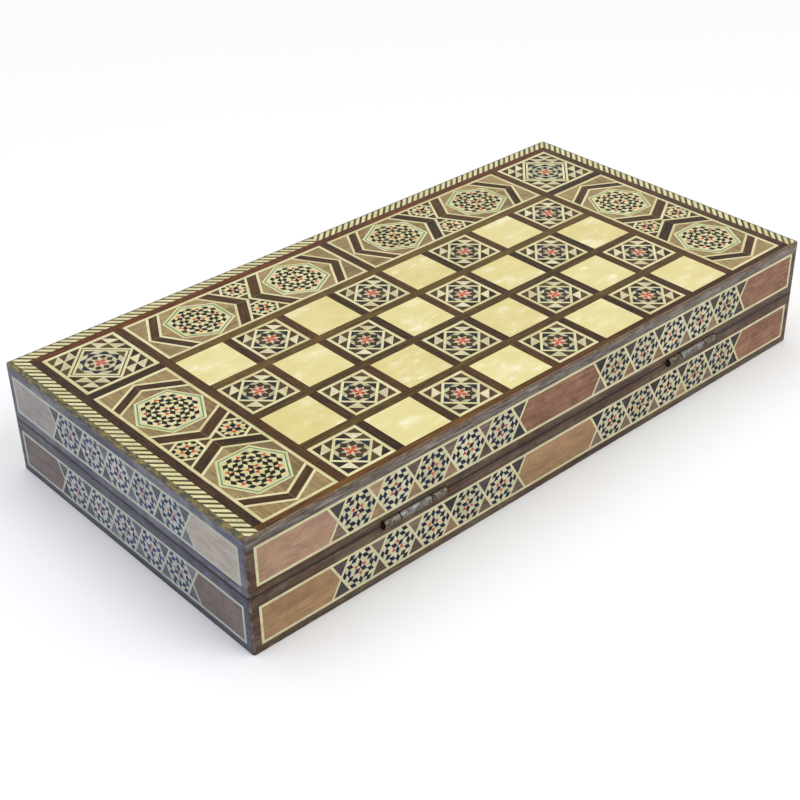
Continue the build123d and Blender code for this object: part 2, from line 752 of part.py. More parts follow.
def half(name, first_is_star, inset_from_face, latch_place):
    """Every piece of one half, in the base's place; returns node names and their shapes."""
    hole = latch_hole(*latch_place)
    pieces = {}
    for side, rail_shape in tray_rails(inset_from_face, hole).items():
        pieces[f"{name}_{side}_rail"] = [rail_shape]
    pieces[f"{name}_board"] = [board_block(veneer)]
    pearl, star = chess_tiles(first_is_star)
    corners, panels = corner_tiles(), hexagon_panel_tiles()
    pieces[f"{name}_pearl_squares"] = pearl
    pieces[f"{name}_star_squares"] = star
    pieces[f"{name}_corner_stars"] = corners
    pieces[f"{name}_hexagon_panels"] = panels
    pieces[f"{name}_striped_banding"] = banding_strips()
    pieces[f"{name}_walnut_strips"] = [walnut_strips(pearl + star + corners + panels)]
    inlay = side_inlay(inset_from_face)
    pieces[f"{name}_side_stringing"] = inlay["stringing"]
    pieces[f"{name}_side_hexagons"] = inlay["hexagons"]
    plain = [panel - hole for panel in inlay["panels"]]
    pieces[f"{name}_side_veneers"] = inlay["triangles"] + plain
    sheet, light, dark, medallion = floor_inlay()
    pieces[f"{name}_floor"] = [sheet]
    pieces[f"{name}_light_points"] = light
    pieces[f"{name}_dark_points"] = dark
    pieces[f"{name}_floor_medallion"] = [medallion]
    return pieces


def main():
    os.makedirs("parts", exist_ok=True)
    pieces = half("base", False, base_frieze_inset, (stud_x, stud_z))
    lid = half("lid", True, lid_frieze_inset, (pivot_x, box_height - pivot_z))
    for name, shapes in lid.items():
        pieces[name] = [to_lid(shape) for shape in shapes]
    base_leaves, lid_leaves, pins = hinges()
    pieces["hinge_base_leaves"] = base_leaves
    pieces["hinge_lid_leaves"] = lid_leaves
    pieces["hinge_pins"] = pins
    screws = [Pos(x, y, axis_z - leaf_gap / 2) * screw() for x, y in hinge_screw_places()]
    pieces["hinge_base_screws"] = screws
    pieces["hinge_lid_screws"] = [to_lid(shape) for shape in screws]
    pieces["latch_hook"] = [latch_hook()]
    pieces["latch_pivot_screw"] = [latch_stud(pivot_x, pivot_z, True)]
    pieces["latch_stud"] = [latch_stud(stud_x, stud_z, False)]
    pieces.update(contents())
    for name, shapes in pieces.items():
        save(name, shapes)
    print(f"{len(pieces)} nodes; box {box_length:.1f} x {box_depth:.1f} x {box_height:.1f} mm")


main()
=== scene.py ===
"""The inlaid folding chess box: its marquetry, woods, metal and playing pieces, with camera and light."""

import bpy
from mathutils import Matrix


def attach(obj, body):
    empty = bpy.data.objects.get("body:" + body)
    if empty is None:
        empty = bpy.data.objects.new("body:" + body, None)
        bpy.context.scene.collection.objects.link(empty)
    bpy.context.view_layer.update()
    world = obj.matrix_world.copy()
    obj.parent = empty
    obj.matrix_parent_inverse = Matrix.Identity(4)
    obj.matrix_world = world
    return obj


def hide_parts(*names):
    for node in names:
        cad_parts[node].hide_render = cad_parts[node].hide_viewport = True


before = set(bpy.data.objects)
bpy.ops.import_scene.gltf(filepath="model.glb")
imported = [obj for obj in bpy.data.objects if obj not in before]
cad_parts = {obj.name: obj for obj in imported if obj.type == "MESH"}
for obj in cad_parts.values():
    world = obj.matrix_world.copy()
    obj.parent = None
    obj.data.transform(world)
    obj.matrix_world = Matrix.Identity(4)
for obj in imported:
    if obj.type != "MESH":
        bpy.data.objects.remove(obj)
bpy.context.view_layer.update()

import logging
import math
from collections.abc import Iterator
from dataclasses import dataclass, field, replace
from enum import Enum

import bpy
import numpy as np
from mathutils import Matrix, Vector

LOG = logging.getLogger("chess_set")
MM = 0.001
HAIR = 0.01  # millimetres between pieces that overlap, so that no two share a plane
Outline = np.ndarray
Pieces = list[np.ndarray]
Socket = bpy.types.NodeSocket
Value = Socket | float | str | tuple[float, ...]


def span(node: str) -> tuple[tuple[float, float], ...]:
    """The low and the high end of a CAD node along x, y and z, in millimetres.

    They are rounded to a thousandth, because the frame holds its points in single precision.

    Args:
        node: the node's name.

    Returns:
        One pair for each axis.
    """
    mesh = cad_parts[node].data
    points = np.empty(3 * len(mesh.vertices))
    mesh.vertices.foreach_get("co", points)
    points = points.reshape(-1, 3) / MM
    return tuple((round(float(low), 3), round(float(high), 3))
                 for low, high in zip(points.min(axis=0), points.max(axis=0)))


# The closed box over its rails, in millimetres

LEFT, RIGHT = span("lid_left_rail")[0][0], span("lid_right_rail")[0][1]
HINGE_SIDE, LATCH_SIDE = span("lid_hinge_rail")[1][0], span("lid_latch_rail")[1][1]
TOP = span("lid_hinge_rail")[2][1]
MIDDLE_Y = round((HINGE_SIDE + LATCH_SIDE) / 2, 3)


def colour(code: str) -> tuple[float, float, float, float]:
    """Turns an sRGB hex colour into the linear values a shader socket holds.

    Args:
        code: six hex digits, such as "8a6b4f".

    Returns:
        Linear red, green and blue, and an alpha of 1.
    """
    parts = np.array([int(code[k:k + 2], 16) / 255.0 for k in (0, 2, 4)])
    linear = np.where(parts <= 0.04045, parts / 12.92, ((parts + 0.055) / 1.055) ** 2.4)
    return (*(float(v) for v in linear), 1.0)


def per_mm(*sizes: float) -> tuple[float, ...]:
    """Scale for a Mapping node, so that one unit of a pattern is as large as each size.

    Args:
        sizes: real sizes of the pattern along each axis, in millimetres.

    Returns:
        One factor for each size, for coordinates in metres.
    """
    return tuple(1.0 / (size * MM) for size in sizes)


# Materials

def add_node(tree: bpy.types.NodeTree, kind: str, settings: dict | None = None,
             inputs: dict | None = None) -> bpy.types.Node:
    """Adds one node with its settings and links.

    Args:
        tree: the node tree that it goes into.
        kind: the node's type, without the words ShaderNode.
        settings: properties of the node.
        inputs: a value, a hex colour or a socket to link, for each input's name or number.

    Returns:
        The new node.
    """
    made = tree.nodes.new("ShaderNode" + kind)
    for key, value in (settings or {}).items():
        setattr(made, key, value)
    for key, value in (inputs or {}).items():
        if isinstance(value, Socket):
            tree.links.new(value, made.inputs[key])
        else:
            made.inputs[key].default_value = colour(value) if isinstance(value, str) else value
    return made


class Surface:
    """A material in the making, with short ways to add the nodes that it uses most.

    A value is a number, a vector, a hex colour or the output socket of another node.
    """

    def __init__(self, name: str) -> None:
        """Starts an empty material.

        Args:
            name: what the material is in real life.
        """
        self.material = bpy.data.materials.new(name)
        self.material.use_nodes = True
        self.tree = self.material.node_tree
        self.tree.nodes.clear()

    def node(self, kind: str, settings: dict | None = None, inputs: dict | None = None,
             output: int | str = 0) -> Socket:
        """Adds one node and hands back one of its outputs.

        Args:
            kind: the node's type, without the words ShaderNode.
            settings: properties of the node.
            inputs: a value for each input's name or number.
            output: which output to hand back.

        Returns:
            The chosen output socket.
        """
        return add_node(self.tree, kind, settings, inputs).outputs[output]

    def math(self, operation: str, *values: Value, clamp: bool = False) -> Socket:
        """Arithmetic on numbers, kept between 0 and 1 if it is clamped."""
        return self.node("Math", {"operation": operation, "use_clamp": clamp},
                         dict(enumerate(values)))

    def vector(self, operation: str, *values: Value) -> Socket:
        """Arithmetic on vectors."""
        return self.node("VectorMath", {"operation": operation}, dict(enumerate(values)))

    def scaled(self, vector: Value, factor: Value) -> Socket:
        """A vector times a number."""
        return self.node("VectorMath", {"operation": "SCALE"}, {0: vector, "Scale": factor})

    def axis(self, vector: Value, name: str) -> Socket:
        """One coordinate of a vector."""
        return self.node("SeparateXYZ", {}, {0: vector}, output=name)

    def ramp(self, value: Value, start: Value, end: Value, low: Value = 0.0,
             high: Value = 1.0) -> Socket:
        """Goes evenly from low to high while a value goes from start to end, and is level beyond.

        Args:
            value: what it follows.
            start: the value where it is low.
            end: the value where it is high.
            low: the result at the start.
            high: the result at the end.

        Returns:
            The result.
        """
        return self.node("MapRange", {}, {"Value": value, "From Min": start, "From Max": end,
                                          "To Min": low, "To Max": high})

    def average(self, share: Value, first: Value, second: Value) -> Socket:
        """The first number with a share of the second."""
        return self.node("Mix", {"data_type": "FLOAT"}, {0: share, 2: first, 3: second})

    def mix(self, share: Value, under: Value, over: Value, blend: str = "MIX") -> Socket:
        """The colour under with a share of the colour over it, in the given way of blending."""
        return self.node("Mix", {"data_type": "RGBA", "blend_type": blend},
                         {0: share, 6: under, 7: over}, output=2)

    def noise(self, place: Value, scale: tuple[float, ...], detail: float, roughness: float = 0.5,
              twist: float = 0.0) -> Socket:
        """Cloudy noise between 0 and 1.

        Args:
            place: the coordinates in metres.
            scale: one factor for each axis, which makes the noise as large as it should be.
            detail: how many finer layers it has.
            roughness: how strong the finer layers are.
            twist: how far it is warped.

        Returns:
            The noise.
        """
        mapped = self.node("Mapping", {}, {"Vector": place, "Scale": scale})
        return self.node("TexNoise", {}, {"Vector": mapped, "Scale": 1.0, "Detail": detail,
                                          "Roughness": roughness, "Distortion": twist})

    def bump(self, height: Value, strength: float, depth: float) -> Socket:
        """The direction that a surface faces with a relief of a depth in millimetres."""
        return self.node("Bump", {}, {"Strength": strength, "Distance": depth * MM,
                                      "Height": height})

    def coat(self, inputs: dict) -> bpy.types.Material:
        """Closes the material with the usual shader."""
        return self.close(self.node("BsdfPrincipled", {}, inputs))

    def close(self, shader: Socket) -> bpy.types.Material:
        """Links the shader to the output and hands back the material."""
        add_node(self.tree, "OutputMaterial", {}, {"Surface": shader})
        return self.material


class Run(Enum):
    """The way the grain runs, as which axis of the coordinates is the long one.

    A piece has its own coordinates, with the grain along the first.
    """

    X = 0
    Y = 1
    Z = 2
    PIECE = 3

    def scale(self, along: float, across: float) -> tuple[float, ...]:
        """Mapping scale for streaks of a real size.

        Args:
            along: length of the streaks, in millimetres.
            across: width of the streaks, in millimetres.

        Returns:
            One factor for each axis.
        """
        sizes = [across, across, across]
        sizes[self.value % 3] = along
        return per_mm(*sizes)


def coordinates(surface: Surface, run: Run = Run.X) -> Socket:
    """Each piece's own grain coordinates, or the object's for a CAD node.

    Args:
        surface: the material in the making.
        run: the way the grain runs.

    Returns:
        The coordinates in metres, as a socket.
    """
    if run is Run.PIECE:
        return surface.node("Attribute", {"attribute_name": "grain"}, output="Vector")
    return surface.node("TexCoord", output="Object")


@dataclass(frozen=True)
class Wood:
    """Sawn or veneered wood under lacquer: long streaks, fine fibres and short dark pores.

    The streaks run along the piece, so each strip, wedge and panel catches the eye by its own grain.
    Real fibres are about a tenth of a millimetre wide, too fine to show here, so they are drawn four
    times as coarse. Soft stains of old polish mottle the wood, and a tint can set in along the box,
    between two places on its length; by default they bound the left end face alone, and the tint there
    is painted cool reflection. Sizes are in millimetres.
    """

    name: str
    dark: str
    light: str
    run: Run = Run.PIECE
    streak: tuple[float, float] = (38.0, 2.6)
    fibre: tuple[float, float] = (9.0, 0.45)
    contrast: float = 1.0
    spread: float = 0.35
    pores: float = 0.35
    mottle: float = 0.12
    stain: float = 9.0
    roughness: float = 0.42
    lacquer: float = 0.04
    drift: str | None = None
    # The default span is the left end face alone, where a tint is painted cool reflection
    drift_span: tuple[float, float] = (LEFT + 0.5, LEFT + 0.2)

    def tint(self, surface: Surface) -> tuple[Socket, Socket]:
        """Adds the grain.

        Args:
            surface: the material in the making.

        Returns:
            The colour, and the height that goes with it.
        """
        place = coordinates(surface, self.run)
        streak = surface.noise(place, self.run.scale(*self.streak), 4.0, 0.6, 0.7)
        fibre = surface.noise(place, self.run.scale(*self.fibre), 3.0, 0.7)
        smudge = surface.noise(place, per_mm(*[self.stain] * 3), 5.0, 0.62, 0.5)
        swing = 0.17 / self.contrast
        level = surface.ramp(surface.average(0.4, streak, fibre), 0.5 - swing, 0.5 + swing)
        if self.run is Run.PIECE:
            tone = surface.node("Attribute", {"attribute_name": "tone"}, output="Fac")
            shift = surface.ramp(tone, 0.0, 1.0, -self.spread, self.spread)
            level = surface.math("ADD", level, shift, clamp=True)
        shade = surface.mix(level, self.dark, self.light)
        pore = surface.ramp(fibre, 0.34, 0.42, 1.0 - self.pores)
        dim = surface.ramp(smudge, 0.36, 0.6, 1.0 - self.mottle)
        for over in (pore, dim):
            shade = surface.mix(1.0, shade, over, "MULTIPLY")
        if self.drift is not None:
            start, end = self.drift_span
            share = surface.ramp(surface.axis(coordinates(surface), "X"), start * MM, end * MM)
            shade = surface.mix(share, shade, self.drift, "MULTIPLY")
        return shade, fibre

    def material(self) -> bpy.types.Material:
        """Makes the finished material.

        Returns:
            The material.
        """
        surface = Surface(self.name)
        shade, height = self.tint(surface)
        gloss = surface.ramp(height, 0.0, 1.0, self.roughness + 0.08, self.roughness - 0.08)
        return surface.coat({
            "Base Color": shade, "Roughness": gloss, "Normal": surface.bump(height, 0.12, 0.2),
            "Coat Weight": self.lacquer, "Coat Roughness": 0.3, "Specular IOR Level": 0.1})


@dataclass(frozen=True)
class WornRail:
    """Dark stained walnut rails, handled for years.

    Edges and corners are rubbed pale, and olive-gold dust of old lacquer clings along the top rim.
    The strip above the frieze can be bleached in pale threads, and the foot darkened towards the bottom
    edge.
    Bands are given as the heights in millimetres at which they set in and are full.
    """

    name: str
    wood: Wood
    half_sizes: tuple[float, float, float] = (RIGHT, (LATCH_SIDE - HINGE_SIDE) / 2, TOP / 2)
    centre: tuple[float, float, float] = (0.0, MIDDLE_Y, TOP / 2)
    drift: str = "dcae98"
    worn: str = "94856f"
    bared: str = "63432f"
    rub_reach: tuple[float, float] = (0.2, 2.6)
    top: str = "7b746c"
    top_fade: float = 0.0
    top_band: tuple[float, float] = (58.5, 59.5)
    chalk: str = "b6b0a6"
    bleach: float = 0.0
    bleach_band: tuple[float, float] = (59.0, 62.5)
    foot_colour: str = "25252c"
    foot: float = 0.2
    foot_band: tuple[float, float] = (3.4, 0.6)
    dust: str = "8f7b3e"
    grime: str = "3b3c30"
    crust: float = 0.85
    rim_band: tuple[float, float] = (64.6, 65.6)
    # Colour of the painted shade beside the line where the trays part, and how far it reaches
    gap: str = "241410"
    gap_shade_reach: tuple[float, float] = (0.9, 3.0)

    def edge_distance(self, surface: Surface, place: Socket) -> Socket:
        """Distance to the nearest outer edge, in millimetres.

        It is the middle one of the three distances to the box's faces: near an edge two of them
        are small, and so is the middle one.

        Args:
            surface: the material in the making.
            place: object coordinates in metres.

        Returns:
            The distance as a socket.
        """
        centred = surface.vector("SUBTRACT", place, tuple(v * MM for v in self.centre))
        inward = surface.vector("SUBTRACT", tuple(v * MM for v in self.half_sizes),
                                surface.vector("ABSOLUTE", centred))
        in_mm = surface.scaled(inward, 1.0 / MM)
        x, y, z = (surface.axis(in_mm, name) for name in "XYZ")
        capped = surface.math("MINIMUM", surface.math("MAXIMUM", x, y), z)
        return surface.math("MAXIMUM", surface.math("MINIMUM", x, y), capped)

    def parting_shade(self, surface: Surface, level: Socket, patch: Socket) -> Socket:
        """Share of the painted shade beside the line where the trays part, on upright faces only.

        Args:
            surface: the material in the making.
            level: height in millimetres.
            patch: the noise that makes its outline ragged.

        Returns:
            The share as a socket.
        """
        near = surface.math("ABSOLUTE", surface.math("SUBTRACT", level, TOP / 2))
        split = surface.ramp(near, surface.ramp(patch, 0.35, 0.65, *self.gap_shade_reach), 0.0)
        facing = surface.axis(surface.node("TexCoord", output="Normal"), "Z")
        outside = surface.ramp(surface.math("ABSOLUTE", facing), 0.8, 0.6)
        return surface.math("MULTIPLY", split, outside)

    def material(self) -> bpy.types.Material:
        """Makes the finished material.

        Returns:
            The material.
        """
        surface = Surface(self.name)
        shade, height = self.wood.tint(surface)
        place = coordinates(surface)
        level = surface.axis(surface.scaled(place, 1.0 / MM), "Z")
        along = self.wood.run.scale
        tone = surface.noise(place, along(45.0, 9.0), 3.0)
        patch = surface.noise(place, per_mm(5.0, 5.0, 5.0), 6.0, 0.72)
        thread = surface.noise(place, along(16.0, 0.8), 5.0, 0.75)
        grit = surface.noise(place, along(6.0, 2.0), 5.0, 0.8)
        tinted = surface.ramp(tone, 0.42, 0.6)
        above = surface.ramp(level, *self.top_band, high=self.top_fade)
        strip = surface.ramp(level, *self.bleach_band, high=self.bleach)
        threads = surface.math("MULTIPLY", surface.ramp(thread, 0.46, 0.66), strip)
        reach = surface.ramp(patch, 0.42, 0.72, *self.rub_reach)
        rubbed = surface.ramp(self.edge_distance(surface, place), reach, 0.0, high=0.85)
        scuff = surface.mix(surface.ramp(patch, 0.45, 0.6), self.bared, self.worn)
        low = surface.ramp(level, *self.foot_band, high=self.foot)
        crusted = surface.math("MULTIPLY", surface.ramp(level, *self.rim_band), self.crust)
        dust = surface.mix(surface.ramp(grit, 0.47, 0.58), self.grime, self.dust)
        joint = self.parting_shade(surface, level, patch)
        # joint, the last layer, is painted shade beside the line where the trays part
        for share, blend, tint in ((tinted, "MULTIPLY", self.drift), (above, "COLOR", self.top),
                                   (threads, "MIX", self.chalk), (rubbed, "MIX", scuff),
                                   (low, "MIX", self.foot_colour), (crusted, "MIX", dust),
                                   (joint, "MIX", self.gap)):
            shade = surface.mix(share, shade, tint, blend)
        gloss = surface.ramp(rubbed, 0.0, 1.0, 0.42, 0.62)
        return surface.coat({
            "Base Color": shade, "Roughness": gloss, "Normal": surface.bump(height, 0.25, 0.3),
            "Coat Weight": 0.06, "Coat Roughness": 0.35, "Specular IOR Level": 0.22})


@dataclass(frozen=True)
class Nacre:
    """Sheets of mother of pearl under yellowed lacquer: soft clouds with a faint silky sheen.

    Each square is cut from another part of the sheet, so its tone differs a little: its column, row
    and layer are counted in steps of the pitch and the layer's height, and pick that part. Sizes
    are in millimetres.
    """

    name: str
    pitch: float
    start: tuple[float, float]
    layer: float = 50.0
    apart: float = 0.37
    shade: str = "cdbb70"
    body: str = "e3da9d"
    bright: str = "f3eed2"
    cloud: float = 14.0

    def material(self) -> bpy.types.Material:
        """Makes the finished material.

        Returns:
            The material.
        """
        surface = Surface(self.name)
        place = coordinates(surface)
        moved = surface.vector("SUBTRACT", place, (self.start[0] * MM, self.start[1] * MM, 0.0))
        counted = surface.vector("MULTIPLY", moved, per_mm(self.pitch, self.pitch, self.layer))
        which = surface.vector("FLOOR", counted)
        tone = surface.node("TexWhiteNoise", {"noise_dimensions": "3D"}, {"Vector": which},
                            output="Value")
        shifted = surface.vector("ADD", place, surface.scaled(which, self.apart))
        large = surface.node("Mapping", {}, {"Vector": shifted,
                                             "Scale": per_mm(self.cloud, self.cloud * 0.6, 9.0)})
        cloud = surface.node("TexNoise", {}, {"Vector": large, "Scale": 1.0, "Detail": 3.0,
                                              "Roughness": 0.55, "Distortion": 1.6})
        flake = surface.node("TexVoronoi", {"feature": "SMOOTH_F1"},
                             {"Vector": large, "Scale": 0.9, "Smoothness": 0.6})
        level = surface.ramp(surface.average(0.45, cloud, flake), 0.12, 0.78)
        low = surface.mix(surface.average(0.42, level, tone), self.shade, self.body)
        clouded = surface.mix(surface.ramp(level, 0.62, 1.0, high=0.5), low, self.bright)
        small = surface.node("Mapping", {}, {"Vector": shifted, "Rotation": (0.0, 0.0, 0.6),
                                             "Scale": per_mm(5.4, 2.3, 3.0)})
        chip = surface.node("TexVoronoi", {"feature": "F1"}, {"Vector": small, "Scale": 1.0},
                            output="Color")
        shine = surface.axis(chip, "X")
        spark = surface.math("MULTIPLY", surface.ramp(shine, 0.9, 0.97, high=0.55),
                             surface.ramp(level, 0.42, 0.72))
        shade = surface.mix(spark, clouded, self.bright)
        gloss = surface.ramp(shine, 0.0, 1.0, 0.32, 0.27)
        return surface.coat({
            "Base Color": shade, "Roughness": gloss, "Normal": surface.bump(cloud, 0.03, 0.1),
            "Coat Weight": 0.15, "Coat Roughness": 0.15, "Specular IOR Level": 0.3})


@dataclass(frozen=True)
class AgedMetal:
    """Cast or turned metal gone dull: brown tarnish in the hollows, bright where it is touched."""

    name: str
    bright: str
    tarnish: str
    patch: float = 2.2
    roughness: float = 0.42

    def seam_shaded(self, surface: Surface, place: Socket, shade: Socket) -> Socket:
        """The colour with painted seam shade: none, for a plain part."""
        return shade

    def material(self) -> bpy.types.Material:
        """Makes the finished material.

        Returns:
            The material.
        """
        surface = Surface(self.name)
        place = coordinates(surface)
        stain = surface.noise(place, per_mm(*[self.patch] * 3), 6.0, 0.7)
        amount = surface.ramp(stain, 0.38, 0.62)
        shade = self.seam_shaded(surface, place, surface.mix(amount, self.bright, self.tarnish))
        gloss = surface.ramp(amount, 0.0, 1.0, self.roughness - 0.1, self.roughness + 0.2)
        return surface.coat({"Base Color": shade, "Metallic": 1.0, "Roughness": gloss,
                             "Normal": surface.bump(stain, 0.15, 0.1)})


@dataclass(frozen=True)
class KnuckleMetal(AgedMetal):
    """Hinge leaves with painted shade, almost black, where one knuckle meets the next."""

    centre: float = 2.3
    hinge: float = 103.8
    middle: float = 10.1
    end: float = 20.4
    width: float = 0.55
    # Colour of the painted shade in the seams between knuckles
    seam_shade: str = "1a1512"

    def seam_shaded(self, surface: Surface, place: Socket, shade: Socket) -> Socket:
        """Darkens the colour near the joints between knuckles, as painted shade in the seams.

        With u the distance from the middle of the nearer hinge, a joint lies where u equals one of
        two lengths, so the painted shade is dark where |u - length| is small.

        Args:
            surface: the material in the making.
            place: object coordinates in metres.
            shade: the colour of the clean metal.

        Returns:
            The colour with its painted seam shade.
        """
        along = surface.math("SUBTRACT", surface.axis(place, "X"), self.centre * MM)
        side = surface.math("SUBTRACT", surface.math("ABSOLUTE", along), self.hinge * MM)
        near = surface.math("ABSOLUTE", side)
        for length in (self.middle, self.end):
            gap = surface.math("ABSOLUTE", surface.math("SUBTRACT", near, length * MM))
            seam_share = surface.ramp(gap, self.width * MM, 0.4 * self.width * MM)
            shade = surface.mix(seam_share, shade, self.seam_shade)
        return shade


@dataclass(frozen=True)
class CastResin:
    """Moulded resin of the dice: ivory with a faint cloud and a soft polish."""

    name: str
    body: str = "e9e1cb"
    shade: str = "d8cca9"

    def material(self) -> bpy.types.Material:
        """Makes the finished material.

        Returns:
            The material.
        """
        surface = Surface(self.name)
        cloud = surface.noise(coordinates(surface), per_mm(6.0, 6.0, 6.0), 3.0)
        return surface.coat({"Base Color": surface.mix(cloud, self.shade, self.body),
                             "Roughness": surface.ramp(cloud, 0.0, 1.0, 0.22, 0.36),
                             "Coat Weight": 0.2})


# Grain of each kind of cut, with sizes in millimetres
LINE = {"streak": (14.0, 2.0), "contrast": 0.8, "spread": 0.3, "pores": 0.12}
GROUND = {"streak": (3.4, 2.2), "fibre": (3.0, 0.7), "contrast": 1.2, "spread": 0.3, "pores": 0.16}
CHIP = {"streak": (5.0, 0.9), "spread": 0.3}
STRIP = {"fibre": (5.0, 0.35), "contrast": 1.2, "mottle": 0.25, "stain": 7.0}
TRIANGLE = {"streak": (16.0, 1.6), "spread": 0.35}
VENEER = {"streak": (30.0, 2.4), "contrast": 0.6, "spread": 0.12, "pores": 0.22, "stain": 11.0}

INLAY_WOODS = {
    # Pale woods and shell: close-grained, so they look smooth and a little chalky
    "bone": Wood("lacquered pale lemonwood stringing", "cac08a", "e6dfb2", **LINE),
    "ground": Wood("pale boxwood mosaic ground", "c2b67c", "e6ddac",
                   **GROUND | {"contrast": 1.1, "spread": 0.2}),
    "cool_ground": Wood("cool bone mosaic ground", "b6b18c", "dcd7b4", **GROUND),
    # The left side's ground: its blue-grey is painted cool reflection
    "frost": Wood("faded blue-grey bone ground", "9c9d96", "c2c2b5", **GROUND),
    "pewter": Wood("greyish shell mosaic ground", "a39f7a", "d3cfaa",
                   **GROUND | {"streak": (2.6, 1.8), "spread": 0.2}),
    "shell": Wood("cream shell mosaic piece", "bfb78f", "e0d9b6", streak=(5.0, 2.4),
                  fibre=(3.0, 0.7), spread=0.5, pores=0.1),
    # Walnut strips: long dark streaks under lacquer, each strip of its own tone
    "walnut": Wood("lacquered walnut strip", "1c1006", "5b3d1b", streak=(16.0, 0.9), spread=0.3,
                   **STRIP),
    "olive_walnut": Wood("lacquered olive-brown walnut strip", "2b1d09", "745a27",
                         streak=(20.0, 0.9), spread=0.25, **STRIP),
    "dark_walnut": Wood("dark walnut margin", "1c1008", "5e4028", streak=(12.0, 1.0), spread=0.15,
                        **STRIP | {"fibre": (4.0, 0.5), "mottle": 0.3, "stain": 8.0}),
    "red_walnut": Wood("reddish walnut margin", "2a1204", "7c4418", streak=(30.0, 1.1),
                       fibre=(6.0, 0.4), contrast=1.1, spread=0.15),
    "amber_walnut": Wood("amber walnut margin", "331d08", "835820", streak=(40.0, 1.1),
                         fibre=(6.0, 0.4), contrast=1.3, spread=0.1, drift="aaa08c",
                         drift_span=(-80.0, 90.0)),
    # Dark and dyed chips: nearly even, because each is only a few fibres wide
    "brown": Wood("stained walnut mosaic piece", "170e08", "5b442a", streak=(9.0, 1.2), spread=0.5),
    "chestnut": Wood("chestnut mosaic square", "23150b", "513a24", streak=(5.0, 1.0), spread=0.4),
    "olive": Wood("dark olive banding wood", "38331c", "6c643c", streak=(9.0, 1.0), spread=0.4),
    "ebony": Wood("black dyed mosaic wood", "050506", "15161a", **CHIP),
    "navy": Wood("blue-black dyed mosaic wood", "0b1119", "1e2b3b", **CHIP),
    "ink": Wood("blue dyed frieze wood", "0c1020", "22294a", **CHIP),
    # The left side's dark chips: their blue is painted cool reflection
    "indigo": Wood("faded indigo dyed wood", "182443", "38496f", **CHIP),
    "coral": Wood("red dyed mosaic wood", "a93526", "d65943",
                  **CHIP | {"streak": (4.0, 0.9), "pores": 0.15}),
    # The left side's red chips: their pinkish tone is painted cool reflection
    "cool_lit_coral": Wood("faded red dyed wood", "9a4650", "bd6a70",
                        **CHIP | {"streak": (4.0, 0.9), "pores": 0.15}),
    "green": Wood("green dyed stringing", "387b57", "6aa37a", streak=(9.0, 0.8), spread=0.3,
                  pores=0.2),
    # Frieze triangles: plain offcuts of differing browns and greys
    "umber": Wood("grey-brown frieze triangle", "4a3d38", "8a7768", **TRIANGLE),
    "dusk": Wood("dark slate-brown frieze triangle", "2a2628", "564c4e", **TRIANGLE),
    "fawn": Wood("fawn frieze triangle", "7a6048", "b49878", **TRIANGLE | {"spread": 0.3}),
    # The left side's triangles: their blue-grey is painted cool reflection
    "slate": Wood("faded blue-grey frieze triangle", "3f4049", "74747c",
                  **TRIANGLE | {"spread": 0.5}),
    # Veneered panels: soft broad figure and cloudy polish; the left side's ashen, stone and mauve are
    # greyed by painted cool reflection
    "tan": Wood("pale figured walnut veneer", "735e3f", "af9768", streak=(24.0, 1.8), contrast=0.9,
                spread=0.3, mottle=0.26, stain=10.0),
    "honey": Wood("honey coloured mahogany veneer", "886a4d", "bc9870", mottle=0.24,
                  **VENEER | {"spread": 0.15}),
    "blush": Wood("pinkish mahogany veneer", "917059", "c2a087", mottle=0.26,
                  **VENEER | {"spread": 0.15}),
    "russet": Wood("red-brown mahogany veneer", "6f4735", "b0856a", streak=(22.0, 1.6),
                   contrast=0.8, spread=0.15, pores=0.3, mottle=0.3),
    "ashen": Wood("faded grey-tan veneer", "94887e", "c1b4a7", mottle=0.16, **VENEER),
    "stone": Wood("faded grey veneer", "827a75", "aca29c", mottle=0.2, **VENEER),
    "mauve": Wood("faded dark mauve-brown veneer", "564945", "857671", mottle=0.24, **VENEER),
}


# Flat shapes, as anticlockwise corner points in millimetres

def turned(points: Outline, degrees: float) -> Outline:
    """Turns points about the origin by an angle."""
    c, s = math.cos(math.radians(degrees)), math.sin(math.radians(degrees))
    return points @ np.array([[c, s], [-s, c]])


def polar(radius: float, degrees: float) -> np.ndarray:
    """The point at a radius and an angle from the origin."""
    return radius * np.array([math.cos(math.radians(degrees)), math.sin(math.radians(degrees))])


def regular(corners: int, radius: float, first: float) -> Outline:
    """A regular polygon: equal angles around a circle, starting at the first angle.

    Args:
        corners: how many corners.
        radius: distance from the centre to a corner.
        first: the first corner's angle in degrees.

    Returns:
        The corner points.
    """
    angles = np.radians(first + 360.0 * np.arange(corners) / corners)
    return radius * np.column_stack([np.cos(angles), np.sin(angles)])


def rectangle(x0: float, x1: float, y0: float, y1: float) -> Outline:
    """A rectangle whose first edge runs along its longer side, so its grain does too."""
    points = np.array([[x0, y0], [x1, y0], [x1, y1], [x0, y1]])
    return points if x1 - x0 >= y1 - y0 else np.roll(points, -1, axis=0)


